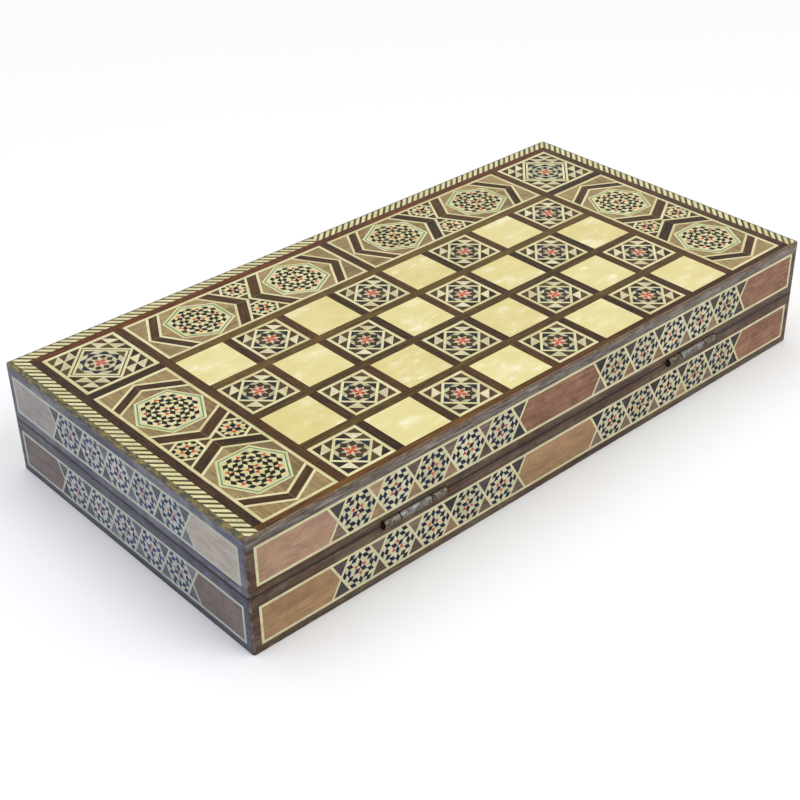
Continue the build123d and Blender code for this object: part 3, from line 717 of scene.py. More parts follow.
def drawn_in(outlines: np.ndarray, gap: float | np.ndarray) -> np.ndarray:
    """Moves every edge of convex polygons inwards by a gap.

    Each edge becomes the line n.x = n.p + gap, where n is its inward normal, and each new corner is
    where two such neighbouring lines cross.

    Args:
        outlines: corner points, as pieces by corners by 2.
        gap: how far the edges move, as one value or one for each edge.

    Returns:
        The new corner points, in the same shape.
    """
    along = np.roll(outlines, -1, axis=1) - outlines
    normal = np.stack([-along[..., 1], along[..., 0]], axis=-1)
    normal /= np.linalg.norm(normal, axis=-1, keepdims=True)
    level = np.sum(normal * outlines, axis=-1) + gap
    before, before_level = np.roll(normal, 1, axis=1), np.roll(level, 1, axis=1)
    cross = before[..., 0] * normal[..., 1] - before[..., 1] * normal[..., 0]
    x = (before_level * normal[..., 1] - before[..., 1] * level) / cross
    y = (before[..., 0] * level - before_level * normal[..., 0]) / cross
    return np.stack([x, y], axis=-1)


def inner(outline: Outline, *gaps: float) -> Outline:
    """One polygon with its edges moved inwards by one gap, or by one for each edge."""
    return drawn_in(outline[None], np.array(gaps))[0]


def cut(outline: Outline, normal: np.ndarray, level: float) -> Outline:
    """Keeps the part of a convex polygon on one side of a line.

    Corners with n.x above the level stay, and each edge that crosses the line gives the point
    where it does.

    Args:
        outline: corner points.
        normal: the line's normal n, towards the side that stays.
        level: the value of n.x on the line.

    Returns:
        The corner points of what is left.
    """
    height = outline @ normal - level
    following = np.roll(height, -1)
    crossing = height * following < 0
    share = height / np.where(crossing, height - following, 1.0)
    points = outline + share[:, None] * (np.roll(outline, -1, axis=0) - outline)
    both = np.stack([outline, points], axis=1)
    return both[np.stack([height >= 0, crossing], axis=1)]


def area(outline: Outline) -> float:
    """Area of a polygon, by the sum of cross products of neighbouring corners."""
    x, y = outline[:, 0], outline[:, 1]
    return 0.5 * float(np.sum(x * np.roll(y, -1) - y * np.roll(x, -1)))


def trimmed(pieces: Pieces, region: Outline, least: float = 0.2, close: float = 0.16) -> Pieces:
    """Cuts pieces to a convex region, merges corners that come close and drops slivers.

    Args:
        pieces: convex polygons.
        region: the polygon that they are cut to.
        least: smallest area that stays, in square millimetres.
        close: distance up to which neighbouring corners are merged.

    Returns:
        The pieces that are left.
    """
    edges = np.roll(region, -1, axis=0) - region
    normals = np.column_stack([-edges[:, 1], edges[:, 0]]) / np.linalg.norm(edges, axis=1)[:, None]
    kept = []
    for piece in pieces:
        for normal, corner in zip(normals, region):
            piece = cut(piece, normal, float(normal @ corner)) if len(piece) > 2 else piece
        if len(piece) > 2:
            gaps = np.linalg.norm(piece - np.roll(piece, 1, axis=0), axis=1)
            piece = piece[gaps > close]
        if len(piece) > 2 and area(piece) > least:
            kept.append(piece)
    return kept


def border(outline: Outline, width: float) -> Pieces:
    """A mitred border just inside a convex polygon: one strip along each edge.

    Args:
        outline: corner points.
        width: width of the border.

    Returns:
        One strip for each edge.
    """
    inside = inner(outline, width)
    strips = np.stack([outline, np.roll(outline, -1, axis=0), np.roll(inside, -1, axis=0), inside],
                      axis=1)
    return list(strips)


def placed(pieces: Pieces, centre: tuple[float, float] | np.ndarray, degrees: float = 0.0) -> Pieces:
    """Turns pieces about the origin and then moves them.

    Args:
        pieces: polygons around the origin.
        centre: where the origin goes.
        degrees: the turn.

    Returns:
        The moved polygons.
    """
    return [turned(piece, degrees) + np.asarray(centre) for piece in pieces]


# Solids

@dataclass(frozen=True)
class Face:
    """A flat side of the box: a point on it, its two directions and the way out, in millimetres."""

    origin: tuple[float, float, float]
    along: tuple[float, float, float]
    up: tuple[float, float, float]
    out: tuple[float, float, float]

    def place(self, local: np.ndarray) -> np.ndarray:
        """World points in metres: origin + a along + b up + c out, for each local (a, b, c)."""
        axes = np.array([self.along, self.up, self.out])
        return (np.array(self.origin) + local @ axes) * MM

    def mirrored(self) -> bool:
        """Whether the three directions make a left-handed set, which turns faces inside out."""
        return float(np.linalg.det(np.array([self.along, self.up, self.out]))) < 0


@dataclass
class Marquetry:
    """One inlaid part, gathered from flat closed pieces of several woods, as a single object.

    The grain of each piece wavers by a small angle in radians and is cut from its own place in the
    wood, up to a shift in millimetres away.
    """

    name: str
    body: str
    slot: str
    seed: int
    ease: float = 0.05
    waver: float = 0.03
    shift: float = 900.0
    points: list[np.ndarray] = field(default_factory=list)
    faces: list[list[int]] = field(default_factory=list)
    woods: list[str] = field(default_factory=list)
    wood_of_face: list[np.ndarray] = field(default_factory=list)
    grain: list[np.ndarray] = field(default_factory=list)
    tone: list[np.ndarray] = field(default_factory=list)
    count: int = 0

    def __post_init__(self) -> None:
        """Seeds the chance differences between pieces."""
        self.chance = np.random.default_rng(self.seed)

    def lay(self, face: Face, wood: str, pieces: Pieces, low: float, high: float,
            grain: float | None = None) -> None:
        """Adds pieces of one wood, each an upright prism with its upper edges eased.

        A prism is three copies of its outline: at the bottom, just under the top, and drawn in by
        the easing at the top. The grain coordinates are the outline turned so that the grain lies
        along the first axis, and moved by chance for each piece.

        Args:
            face: the side of the box that they lie in.
            wood: key of the wood.
            pieces: convex polygons, anticlockwise.
            low: height of their underside, measured outwards from the face.
            high: height of their upper side.
            grain: angle of the grain in degrees, or None to follow each piece's first edge.
        """
        if wood not in self.woods:
            self.woods.append(wood)
        for corners in sorted({len(piece) for piece in pieces}):
            group = np.array([piece for piece in pieces if len(piece) == corners])
            number = len(group)
            top = drawn_in(group, self.ease)
            flat = np.stack([group, group, top], axis=1)
            level = np.array([low, high - self.ease, high])
            heights = np.broadcast_to(level[None, :, None, None], (number, 3, corners, 1))
            local = np.concatenate([flat, heights], axis=-1)
            self.points.append(face.place(local.reshape(-1, 3)))
            edge = group[:, 1] - group[:, 0]
            angle = np.arctan2(edge[:, 1], edge[:, 0])
            if grain is not None:
                angle = np.full(number, math.radians(grain))
            angle = angle + self.chance.normal(0.0, self.waver, number)
            c, s = np.cos(angle)[:, None, None], np.sin(angle)[:, None, None]
            run = np.stack([flat[..., 0] * c + flat[..., 1] * s,
                            flat[..., 1] * c - flat[..., 0] * s, heights[..., 0]], axis=-1)
            run = run + self.chance.uniform(0.0, self.shift, (number, 1, 1, 3))
            self.grain.append(run.reshape(-1, 3) * MM)
            self.tone.append(np.repeat(self.chance.uniform(0.0, 1.0, number), 3 * corners))
            self.add_faces(number, corners, face.mirrored(), self.woods.index(wood))

    def add_faces(self, number: int, corners: int, mirrored: bool, wood: int) -> None:
        """Joins the rings of each prism by four-sided faces and closes both ends.

        Corner k of ring r has number r * corners + k, so a side face takes k and k + 1 of two
        neighbouring rings.

        Args:
            number: how many prisms.
            corners: how many corners each has.
            mirrored: whether the faces have to turn round.
            wood: index of the wood.
        """
        k = np.arange(corners)
        following = (k + 1) % corners
        ring = np.arange(2)[:, None] * corners
        sides = np.stack([ring + k, ring + following, ring + following + corners,
                          ring + k + corners], axis=-1).reshape(-1, 4)
        ends = np.stack([k[::-1], k + 2 * corners])
        if mirrored:
            sides, ends = sides[:, ::-1], ends[:, ::-1]
        start = self.count + np.arange(number)[:, None, None] * 3 * corners
        self.faces += (start + sides[None]).reshape(-1, 4).tolist()
        self.faces += (start + ends[None]).reshape(-1, corners).tolist()
        self.wood_of_face.append(np.full(number * (2 * corners + 2), wood))
        self.count += number * 3 * corners

    def make(self, stock: "Stock", *nodes: str) -> bpy.types.Object:
        """Makes the object and lets it stand for its CAD nodes.

        Args:
            stock: the store of materials.
            nodes: names of the CAD nodes that it replaces.

        Returns:
            The new object.
        """
        mesh = bpy.data.meshes.new(self.name)
        mesh.from_pydata(np.concatenate(self.points), [], self.faces)
        for name in self.woods:
            mesh.materials.append(stock.wood(name))
        mesh.polygons.foreach_set("material_index",
                                  np.concatenate(self.wood_of_face).astype(np.int32))
        grain = mesh.attributes.new("grain", "FLOAT_VECTOR", "POINT")
        grain.data.foreach_set("vector", np.concatenate(self.grain).ravel().astype(np.float32))
        tone = mesh.attributes.new("tone", "FLOAT", "POINT")
        tone.data.foreach_set("value", np.concatenate(self.tone).astype(np.float32))
        mesh.update()
        made = bpy.data.objects.new(self.name, mesh)
        bpy.context.scene.collection.objects.link(made)
        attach(made, self.body)
        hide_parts(*nodes)
        LOG.info("%s: %d faces", self.name, len(mesh.polygons))
        return made


Finish = Wood | WornRail | Nacre | AgedMetal | CastResin


class Stock:
    """The store of finished materials, each made once."""

    def __init__(self) -> None:
        """Starts empty."""
        self.made: dict[str, bpy.types.Material] = {}

    def wood(self, key: str) -> bpy.types.Material:
        """The inlay wood of that key."""
        return self.get(INLAY_WOODS[key])

    def get(self, finish: Finish) -> bpy.types.Material:
        """Makes the material of a finish, or finds it if it is made.

        Args:
            finish: the finish.

        Returns:
            Its material.
        """
        if finish.name not in self.made:
            self.made[finish.name] = finish.material()
        return self.made[finish.name]

    def dress(self, node: str, finish: Finish) -> None:
        """Gives a CAD node its material.

        Args:
            node: the node's name.
            finish: its finish.
        """
        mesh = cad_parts[node].data
        mesh.materials.clear()
        mesh.materials.append(self.get(finish))
        LOG.info("%s: %s", node, finish.name)


# Marquetry patterns

@dataclass(frozen=True)
class StarLattice:
    """Small 60 degree rhombs, each across the middle of an edge of a lattice of triangles."""

    spacing: float = 2.64
    long: float = 4.8
    short: float = 3.05
    tip: tuple[float, float] = (2.5, 2.9)
    tuck: float = 0.3
    corner_place: float = 7.2

    @property
    def row(self) -> float:
        """Height of a lattice triangle, where the petals of a star lie."""
        return self.spacing * math.sqrt(3) / 2

    def rhomb(self, centre: np.ndarray, degrees: float) -> Outline:
        """A rhomb: its corners lie half a diagonal out along two crossed directions.

        Args:
            centre: its middle.
            degrees: the direction of its long diagonal.

        Returns:
            The corner points.
        """
        shape = np.array([[self.long / 2, 0], [0, self.short / 2], [-self.long / 2, 0],
                          [0, -self.short / 2]])
        return turned(shape, degrees) + centre

    def petals(self, centre: np.ndarray, angles: tuple[float, ...]) -> Pieces:
        """Rhombs pointing out of a star's centre at the given angles."""
        return [self.rhomb(centre + polar(self.row, angle), angle) for angle in angles]

    def tips(self, centre: np.ndarray, angles: tuple[float, ...]) -> Pieces:
        """Short triangles that stand for the outer halves of petals.

        Args:
            centre: the middle of the star.
            angles: directions of the petals.

        Returns:
            One triangle for each angle.
        """
        length, width = self.tip
        shape = np.array([[length, 0], [0, width / 2], [0, -width / 2]])
        start = self.row - self.tuck
        return [turned(shape, angle) + centre + polar(start, angle) for angle in angles]

    def ties(self, steps: float, angles: tuple[float, ...]) -> Pieces:
        """Rhombs lying across the rays at the given angles, so many lattice steps out."""
        return [self.rhomb(polar(steps * self.spacing, angle), angle + 90) for angle in angles]

    def large_rose(self) -> dict[str, Pieces]:
        """A star ringed by six more stars, tied together between them.

        Returns:
            Pieces of each wood.
        """
        rays = tuple(60.0 * k for k in range(6))
        centre = np.zeros(2)
        dark = self.petals(centre, (90, 210, 330)) + self.ties(2.5, rays) + self.ties(3.5, rays)
        coral = self.tips(centre, (30, 150, 270))
        for angle in (30.0 + 60.0 * k for k in range(6)):
            star = polar(2 * math.sqrt(3) * self.spacing, angle)
            dark += self.petals(star, (angle + 180, angle + 60, angle - 60))
            coral += self.tips(star, (angle,))
        for angle in rays:
            for side in (-1, 1):
                spot = polar(5 * self.spacing, angle) + side * polar(self.row, angle + 90)
                dark.append(self.rhomb(spot, angle + 90))
        return {"ebony": dark, "coral": coral}

    def small_rose(self, first_dark: float, outline: Outline) -> dict[str, Pieces]:
        """One star with ties at its corners and tips cut by its border.

        Args:
            first_dark: angle of the first dark petal.
            outline: the hexagon that it is cut to.

        Returns:
            Pieces of each wood.
        """
        centre = np.zeros(2)
        dark = self.petals(centre, tuple(first_dark + 120 * k for k in range(3)))
        dark += self.ties(2.5, tuple(30 + 60 * k for k in range(6)))
        dark += [self.rhomb(polar(self.corner_place, 60 * k), 60 * k) for k in range(6)]
        coral = self.tips(centre, tuple(first_dark + 60 + 120 * k for k in range(3)))
        return {"ebony": trimmed(dark, outline), "coral": coral}

    def frieze_rose(self, first_dark: float, outline: Outline) -> dict[str, Pieces]:
        """The star of a side hexagon, with dark spokes and ties around it.

        Args:
            first_dark: angle of the first dark petal.
            outline: the hexagon that it is cut to.

        Returns:
            Pieces of each wood.
        """
        centre = np.zeros(2)
        dark = self.petals(centre, tuple(first_dark + 120 * k for k in range(3)))
        dark += [self.rhomb(polar(3 * self.row, 30 + 60 * k), 30 + 60 * k) for k in range(6)]
        rays = tuple(60.0 * k for k in range(6))
        dark += self.ties(2.5, rays) + self.ties(3.5, rays)
        coral = self.tips(centre, tuple(first_dark + 60 + 120 * k for k in range(3)))
        return {"ebony": trimmed(dark, outline), "coral": coral}


@dataclass(frozen=True)
class Depths:
    """Heights of the layers of one sheet of marquetry, measured outwards from its face."""

    low: float
    ground: float
    line: float
    high: float


@dataclass(frozen=True)
class Spot:
    """Where a pattern goes: its sheet, the side of the box, its layers, its middle and its turn."""

    sheet: Marquetry
    face: Face
    depths: Depths
    centre: np.ndarray
    degrees: float = 0.0

    def lay(self, wood: str, pieces: Pieces, high: float, turn: float = 0.0,
            grain: float | None = None) -> None:
        """Lays pieces of one wood, from the foot of the sheet up to a height.

        Args:
            wood: key of the wood.
            pieces: convex polygons around the pattern's middle.
            high: height of their upper side.
            turn: how far they are turned within the pattern, in degrees.
            grain: angle of the grain within the pattern, or None to follow each piece's first edge.
        """
        at = placed(pieces, self.centre, self.degrees + turn)
        angle = None if grain is None else self.degrees + grain
        self.sheet.lay(self.face, wood, at, self.depths.low, high, angle)

    def moved(self, step: np.ndarray, turn: float = 0.0) -> "Spot":
        """The spot of a smaller pattern within this one.

        Args:
            step: the way to its middle, in this pattern's directions.
            turn: its own turn, in degrees.

        Returns:
            The new spot.
        """
        return replace(self, centre=self.centre + turned(step, self.degrees),
                       degrees=self.degrees + turn)


@dataclass(frozen=True)
class StarSquare:
    """A chess square with a diamond, corner triangles and a red star in the middle."""

    side: float
    outline: float = 1.7
    diamond_line: float = 1.25
    cells: int = 2
    vertex_leg: float = 3.6
    small_square: float = 3.5
    ring: float = 5.45
    star_reach: float = 4.0
    star_width: float = 2.6
    star_waist: float = 0.48
    star_seam: float = 0.3
    seam: float = 0.14

    def star(self) -> dict[str, Pieces]:
        """Eight narrow rhombs with their points together, red and pale in turn.

        Returns:
            Pieces of each wood.
        """
        reach, wide = self.star_reach, self.star_width / 2
        waist = self.star_waist * reach
        petal = np.array([[0, 0], [waist, -wide], [reach, 0], [waist, wide]])
        return {"coral": [turned(petal, 22.5 + 90 * k) for k in range(4)],
                "shell": [turned(inner(petal, self.star_seam), 67.5 + 90 * k) for k in range(4)]}

    def ring_squares(self) -> Pieces:
        """Eight little squares in a ring, each with a corner towards the middle or a side."""
        shape = regular(4, self.small_square / math.sqrt(2), 0.0)
        return [turned(shape, 45.0 * (k % 2)) + polar(self.ring, 45.0 * k) for k in range(8)]

    def corner(self, half: float) -> dict[str, Pieces]:
        """The cells of one corner, beyond the diamond: dark and pale triangles.

        Args:
            half: half the side inside the outline.

        Returns:
            Pieces of each wood.
        """
        size = half / self.cells
        dark, pale = [], []
        for i in range(self.cells):
            for j in range(self.cells - 1 - i, self.cells):
                x0, y0 = i * size, j * size
                x1, y1 = x0 + size, y0 + size
                dark.append(inner(np.array([[x1, y0], [x1, y1], [x0, y1]]), self.seam))
                if i + j >= self.cells:
                    pale.append(inner(np.array([[x0, y0], [x1, y0], [x0, y1]]), self.seam))
        return {"brown": dark, "shell": pale}

    def lay_corners(self, spot: Spot) -> tuple[Outline, Outline]:
        """Lays the ground and the triangles of all four corners.

        Args:
            spot: where the block goes.

        Returns:
            The block's outline and the diamond's.
        """
        half = self.side / 2
        whole = rectangle(-half, half, -half, half)
        within = half - self.outline
        spot.lay("ground", [inner(whole, HAIR)], spot.depths.ground)
        for wood, pieces in self.corner(within).items():
            for k in range(4):
                spot.lay(wood, pieces, spot.depths.line, 90 * k)
        return whole, regular(4, within, 0.0)

    def wedge(self, reach: float) -> Outline:
        """The triangle in the diamond's right corner, with its point at a reach from the middle."""
        foot = reach - self.vertex_leg
        return np.array([[reach, 0], [foot, self.vertex_leg], [foot, -self.vertex_leg]])

    def lay_middle(self, spot: Spot, diamond: Outline) -> None:
        """Lays the greyish ground inside the diamond, the ring of squares and the star.

        Args:
            spot: where the block goes.
            diamond: the inside of the diamond's line.
        """
        line = spot.depths.line
        spot.lay("pewter", [diamond], spot.depths.ground + HAIR)
        spot.lay("chestnut", self.ring_squares(), line)
        for wood, pieces in self.star().items():
            spot.lay(wood, pieces, line + (HAIR if wood == "coral" else 0.0))

    def lay(self, spot: Spot) -> None:
        """Lays the square.

        Args:
            spot: where it goes.
        """
        whole, diamond = self.lay_corners(spot)
        wedge = self.wedge(diamond[0, 0] - self.diamond_line * math.sqrt(2))
        for k in range(4):
            spot.lay("navy", [wedge], spot.depths.line, 90 * k)
        self.lay_middle(spot, inner(diamond, self.diamond_line))
        spot.lay("bone", border(diamond, self.diamond_line) + border(whole, self.outline),
                 spot.depths.high)


@dataclass(frozen=True)
class CornerStar(StarSquare):
    """The large corner block: an eight-pointed star inside a triple-lined diamond."""

    outline: float = 1.9
    pale_line: float = 1.3
    dark_line: float = 0.6
    cells: int = 3
    octagon: float = 7.9
    overlap: float = 0.3
    vertex_leg: float = 3.9
    small_square: float = 2.9

    def lay(self, spot: Spot) -> None:
        """Lays the block.

        Args:
            spot: where it goes.
        """
        whole, diamond = self.lay_corners(spot)
        line, high = spot.depths.line, spot.depths.high
        second = inner(diamond, self.pale_line)
        third = inner(second, self.dark_line)
        wedge = self.wedge(third[0, 0] - self.pale_line * math.sqrt(2))
        leg = self.octagon * math.tan(math.radians(22.5)) + self.overlap
        point = np.array([[self.octagon, -leg], [self.octagon + leg, 0], [self.octagon, leg]])
        for k in range(4):
            spot.lay("brown", [wedge], line, 90 * k)
        for k in range(8):
            spot.lay("navy", [point], line, 45 * k)
        self.lay_middle(spot, inner(third, self.pale_line))
        lines = border(diamond, self.pale_line) + border(third, self.pale_line)
        spot.lay("bone", lines + border(whole, self.outline), high)
        spot.lay("navy", border(second, self.dark_line), high - HAIR)


@dataclass(frozen=True)
class HexagonPanel:
    """A long panel: two roses in hexagons between chevrons, and two small ones in the middle."""

    width: float
    length: float
    star_turn: float = 180.0
    outline: float = 1.8
    line: float = 1.4
    line_drop: float = 0.012
    rose_place: float = 33.3
    rose_radius: float = 19.6
    ring_widths: tuple[float, float, float] = (1.15, 0.75, 0.7)
    small_place: float = 13.3
    small_flat: float = 6.7
    small_border: float = 1.5
    small_drop: float = 0.006
    middle_apex: tuple[float, float] = (0.3, 8.5)
    end_apex: tuple[float, float] = (58.5, 65.4)
    overlap: float = 0.1
    slope: float = math.tan(math.radians(30))

    @property
    def reach(self) -> float:
        """Half the width of what lies inside the outline, which covers its edge."""
        return (self.width - self.outline) / 2

    def chevron(self, near: float, far: float, rise: float) -> Pieces:
        """Two arms between two bent lines that meet in the middle of the panel.

        Each line has height apex + rise * |u|.

        Args:
            near: apex of the lower line.
            far: apex of the upper line.
            rise: slope of both lines.

        Returns:
            The left and the right arm.
        """
        u = self.reach
        right = np.array([[0, near], [u, near + rise * u], [u, far + rise * u], [0, far]])
        left = np.array([[-u, near + rise * u], [0, near], [0, far], [-u, far + rise * u]])
        return [left, right]

    def half(self) -> dict[str, Pieces]:
        """The pieces of the half panel above its middle, around the rose.

        Returns:
            Pieces of each wood.
        """
        tall = self.line / math.cos(math.radians(30))
        (m0, m1), (e0, e1), rise = self.middle_apex, self.end_apex, self.slope
        u, end = self.reach, (self.length - self.outline) / 2
        over = end + self.overlap
        region = rectangle(-u, u, 0.0, end)
        walnut = self.chevron(m0, m1, rise) + self.chevron(e0, e1, -rise)
        fill = [np.array([[0, m1], [u, m1 + rise * u], [u, e0 - rise * u], [0, e0]]),
                np.array([[0, e0], [-u, e0 - rise * u], [-u, m1 + rise * u], [0, m1]])]
        corners = [np.array([[0, e1], [u, e1 - rise * u], [u, over], [0, over]]),
                   np.array([[-u, over], [-u, e1 - rise * u], [0, e1], [0, over]])]
        lines = self.chevron(m0, m0 + tall, rise) + self.chevron(m1, m1 + tall, rise)
        lines += self.chevron(e0 - tall, e0, -rise) + self.chevron(e1 - tall, e1, -rise)
        return {"walnut": trimmed(walnut, region), "tan": trimmed(fill + corners, region),
                "bone": trimmed(lines, region)}

    def middle(self) -> Pieces:
        """The dark bow tie and corner wedges around the two small hexagons.

        Returns:
            Six triangles.
        """
        u, rise = self.reach, self.slope
        spread = self.small_place - self.small_flat
        tie = np.array([[0, 0], [spread, -rise * spread], [spread, rise * spread]])
        low = self.middle_apex[0]
        wedge = np.array([[u, rise * (2 * self.small_place - u)], [u, low + rise * u],
                          [self.small_place, low + rise * self.small_place]])
        mirrored = wedge[::-1] * np.array([1, -1])
        return [tie, turned(tie, 180), wedge, turned(wedge, 180), mirrored, turned(mirrored, 180)]

    def lay(self, spot: Spot) -> None:
        """Lays the panel.

        Args:
            spot: where it goes, with the turn of its length from upright.
        """
        whole = rectangle(-self.width / 2, self.width / 2, -self.length / 2, self.length / 2)
        ground, high = spot.depths.ground, spot.depths.high
        spot.lay("ground", [inner(whole, HAIR)], ground)
        for turn in (0.0, 180.0):
            for wood, pieces in self.half().items():
                spot.lay(wood, pieces, high - self.line_drop if wood == "bone" else ground + HAIR,
                         turn, 90.0 if wood == "tan" else None)
            step = turned(np.array([0.0, self.rose_place]), turn)
            self.rose(spot.moved(step, turn + self.star_turn))
        spot.lay("brown", self.middle(), ground + 2 * HAIR, grain=90.0)
        self.small_roses(spot)
        spot.lay("bone", border(whole, self.outline), high)

    def rose(self, spot: Spot) -> None:
        """Lays one large hexagon with its green line and its rose.

        Args:
            spot: where the hexagon goes.
        """
        ring = regular(6, self.rose_radius, 0.0)
        for wood, width in zip(("bone", "green", "bone"), self.ring_widths):
            spot.lay(wood, border(ring, width), spot.depths.high - (HAIR if wood == "green" else 0.0))
            ring = inner(ring, width)
        spot.lay("ground", [ring], spot.depths.ground + 3 * HAIR)
        for wood, pieces in StarLattice().large_rose().items():
            spot.lay(wood, pieces, spot.depths.line + (2 * HAIR if wood == "ebony" else HAIR))

    def small_roses(self, spot: Spot) -> None:
        """Lays the two small hexagons in the middle of the panel.

        Args:
            spot: where the panel goes.
        """
        lattice = StarLattice(spacing=2.75, long=5.2, short=3.45, tip=(2.8, 3.2))
        upright = math.cos(math.radians(30))
        outer = regular(6, self.small_flat / upright, 30.0)
        rim = border(regular(6, (self.small_flat + self.small_border) / upright, 30.0),
                     self.small_border)
        region = rectangle(-self.reach, self.reach, -self.reach, self.reach)
        for side, first in ((-1, 0.0), (1, 60.0)):
            step = np.array([side * self.small_place, 0.0])
            rose = spot.moved(step)
            rose.lay("ground", [outer], spot.depths.ground + 3 * HAIR)
            for wood, pieces in lattice.small_rose(first, outer).items():
                rose.lay(wood, pieces, spot.depths.line + (HAIR if wood == "ebony" else 0.0))
            spot.lay("bone", trimmed(placed(rim, step), region), spot.depths.high - self.small_drop)


# The box

class Half(Enum):
    """The two trays of the box."""

    BASE = "base"
    LID = "lid"

    def outer_face(self) -> Face:
        """The chessboard side: the top of the lid, or the underside of the base."""
        outwards, height = (1, TOP) if self is Half.LID else (-1, 0.0)
        return Face((0.0, 0.0, height), (1, 0, 0), (0, 1, 0), (0, 0, outwards))

    def inner_face(self) -> Face:
        """The backgammon side of the tray's floor.

        Returns:
            The face, at the height of the CAD floor.
        """
        low, high = span(f"{self.value}_floor")[2]
        outwards, height = (-1, low) if self is Half.LID else (1, high)
        return Face((0.0, MIDDLE_Y, height), (1, 0, 0), (0, 1, 0), (0, 0, outwards))

    def seed(self, base: int, lid: int) -> int:
        """The seed of the chance differences in one of its sheets."""
        return lid if self is Half.LID else base


@dataclass
class OuterInlay:
    """The chessboard and its surround on the outside of one tray.

    Its lines are those of the CAD nodes: the banding gives the field, the walnut strips the inside
    of the banding, the corner stars the blocks and the pearl squares the board.
    """

    half: Half
    rows: int = 4
    columns: int = 8
    stripe: float = 4.7
    pale_stripe: float = 2.7
    depths: Depths = Depths(-1.7, -0.16, -0.12, -0.1)

    def __post_init__(self) -> None:
        """Reads the lines between blocks, strips and squares from the frame."""
        name = self.half.value
        self.field = span(f"{name}_striped_banding")
        self.banding = round(span(f"{name}_walnut_strips")[0][0] - self.field[0][0], 3)
        (self.left, self.right), (self.block_y, self.latch), _ = span(f"{name}_corner_stars")
        (self.first_x, last_x), (self.first_y, _), _ = span(f"{name}_pearl_squares")
        self.block = round(self.latch - self.block_y, 3)
        self.strip = round(self.first_x - self.left - self.block, 3)
        gaps = (self.columns - 1) * self.strip
        self.square = round((last_x - self.first_x - gaps) / self.columns, 3)
        self.pitch = self.square + self.strip
        self.middle = self.first_x + self.columns / 2 * self.pitch - self.strip / 2

    def sheet(self, part: str, slot: str, seed: int) -> Marquetry:
        """Starts one inlaid part of this tray."""
        return Marquetry(f"{self.half.value}_{part}_inlay", self.half.value, slot,
                         self.half.seed(seed, 100 + seed))

    def strips(self) -> dict[str, Pieces]:
        """Walnut strips: the long ones run through, and short ones stand between the squares.

        Returns:
            Pieces of each wood.
        """
        (x0, x1), (y0, y1), _ = self.field
        s, low, latch = self.strip, self.first_y, self.latch
        near, far, side = x0 + self.banding, x1 - self.banding, y1 - self.banding
        margins = [np.array([[self.left, low], [self.left, latch], [near, side], [near, low]]),
                   np.array([[far, low], [far, side], [self.right, latch], [self.right, low]]),
                   np.array([[self.left, latch], [self.right, latch], [far, side], [near, side]])]
        inner_right = self.right - self.block
        pieces = [rectangle(a, b, c, d) for a, b, c, d in (
            (self.left, self.first_x - s, self.block_y - s, self.block_y),
            (inner_right, self.right, self.block_y - s, self.block_y),
            (self.first_x - s, self.first_x, low, latch),
            (inner_right - s, inner_right, low, latch),
            (self.middle - s / 2, self.middle + s / 2, self.block_y, latch))]
        rows = []
        for row in range(self.rows):
            y = low + row * self.pitch
            rows.append(rectangle(self.first_x, inner_right - s, y + self.square, y + self.pitch))
            for column in range(self.columns - 1):
                x = self.first_x + column * self.pitch
                pieces.append(rectangle(x + self.square, x + self.pitch, y, y + self.square))
        return {"amber_walnut": [rectangle(near, far, y0, low)], "dark_walnut": margins[:2],
                "red_walnut": margins[2:], "walnut": pieces, "olive_walnut": rows}

    def slanting(self, band: Outline, starts: list[float], near: float,
                 far: float) -> Iterator[tuple[str, Outline]]:
        """Pale and dark stripes in turn, cut to a band.

        A stripe is a parallelogram whose lower edge lies further along by one length and whose
        upper edge by another.

        Args:
            band: the outline of the band, lying along the first axis.
            starts: where each pair of stripes starts.
            near: how far the lower edge is moved along.
            far: how far the upper edge is moved along.

        Yields:
            Each stripe's wood and outline.
        """
        pale, top = self.pale_stripe, self.banding
        for pair in starts:
            for wood, start, wide in (("bone", pair, pale), ("olive", pair + pale, self.stripe - pale)):
                slope = np.array([[start + near, 0.0], [start + near + wide, 0.0],
                                  [start + far + wide, top], [start + far, top]])
                for piece in trimmed([slope], band):
                    yield wood, piece

    def stripes(self) -> dict[str, Pieces]:
        """Slanting pale and dark stripes of the banding.

        They lean over by the band's width, so the mitres at the latch side run along stripes. They
        lean one way on the left and the left half of the latch side, and the other way on the rest.

        Returns:
            Pieces of each wood.
        """
        (x0, x1), (y0, y1), _ = self.field
        b = self.banding
        found: dict[str, Pieces] = {"bone": [], "olive": []}
        length, reach = y1 - y0, (x1 - x0) / 2
        side = np.array([[0.0, 0.0], [length, 0.0], [length - b, b], [0.0, b]])
        starts = [length - b - (k + 1) * self.stripe
                  for k in range(-2, int((length + b) / self.stripe) + 2)]
        for wood, piece in self.slanting(side, starts, b, 0.0):
            found[wood] += [np.column_stack([x0 + piece[:, 1], y0 + piece[:, 0]])[::-1],
                            np.column_stack([x1 - piece[:, 1], y0 + piece[:, 0]])]
        latch = np.array([[0.0, 0.0], [reach, 0.0], [reach, b], [b, b]])
        starts = [k * self.stripe for k in range(-1, int(reach / self.stripe) + 2)]
        for wood, piece in self.slanting(latch, starts, 0.0, b):
            found[wood] += [np.column_stack([x0 + piece[:, 0], y1 - piece[:, 1]])[::-1],
                            np.column_stack([x1 - piece[:, 0], y1 - piece[:, 1]])]
        return found

    def squares(self) -> list[np.ndarray]:
        """Middles of the star squares, which take turns with the pearl ones.

        Returns:
            One point for each square.
        """
        first = 0 if self.half is Half.LID else 1
        middle = np.array([self.first_x, self.first_y]) + self.square / 2
        return [middle + self.pitch * np.array([column, row]) for row in range(self.rows)
                for column in range(self.columns) if (row + column) % 2 == first]

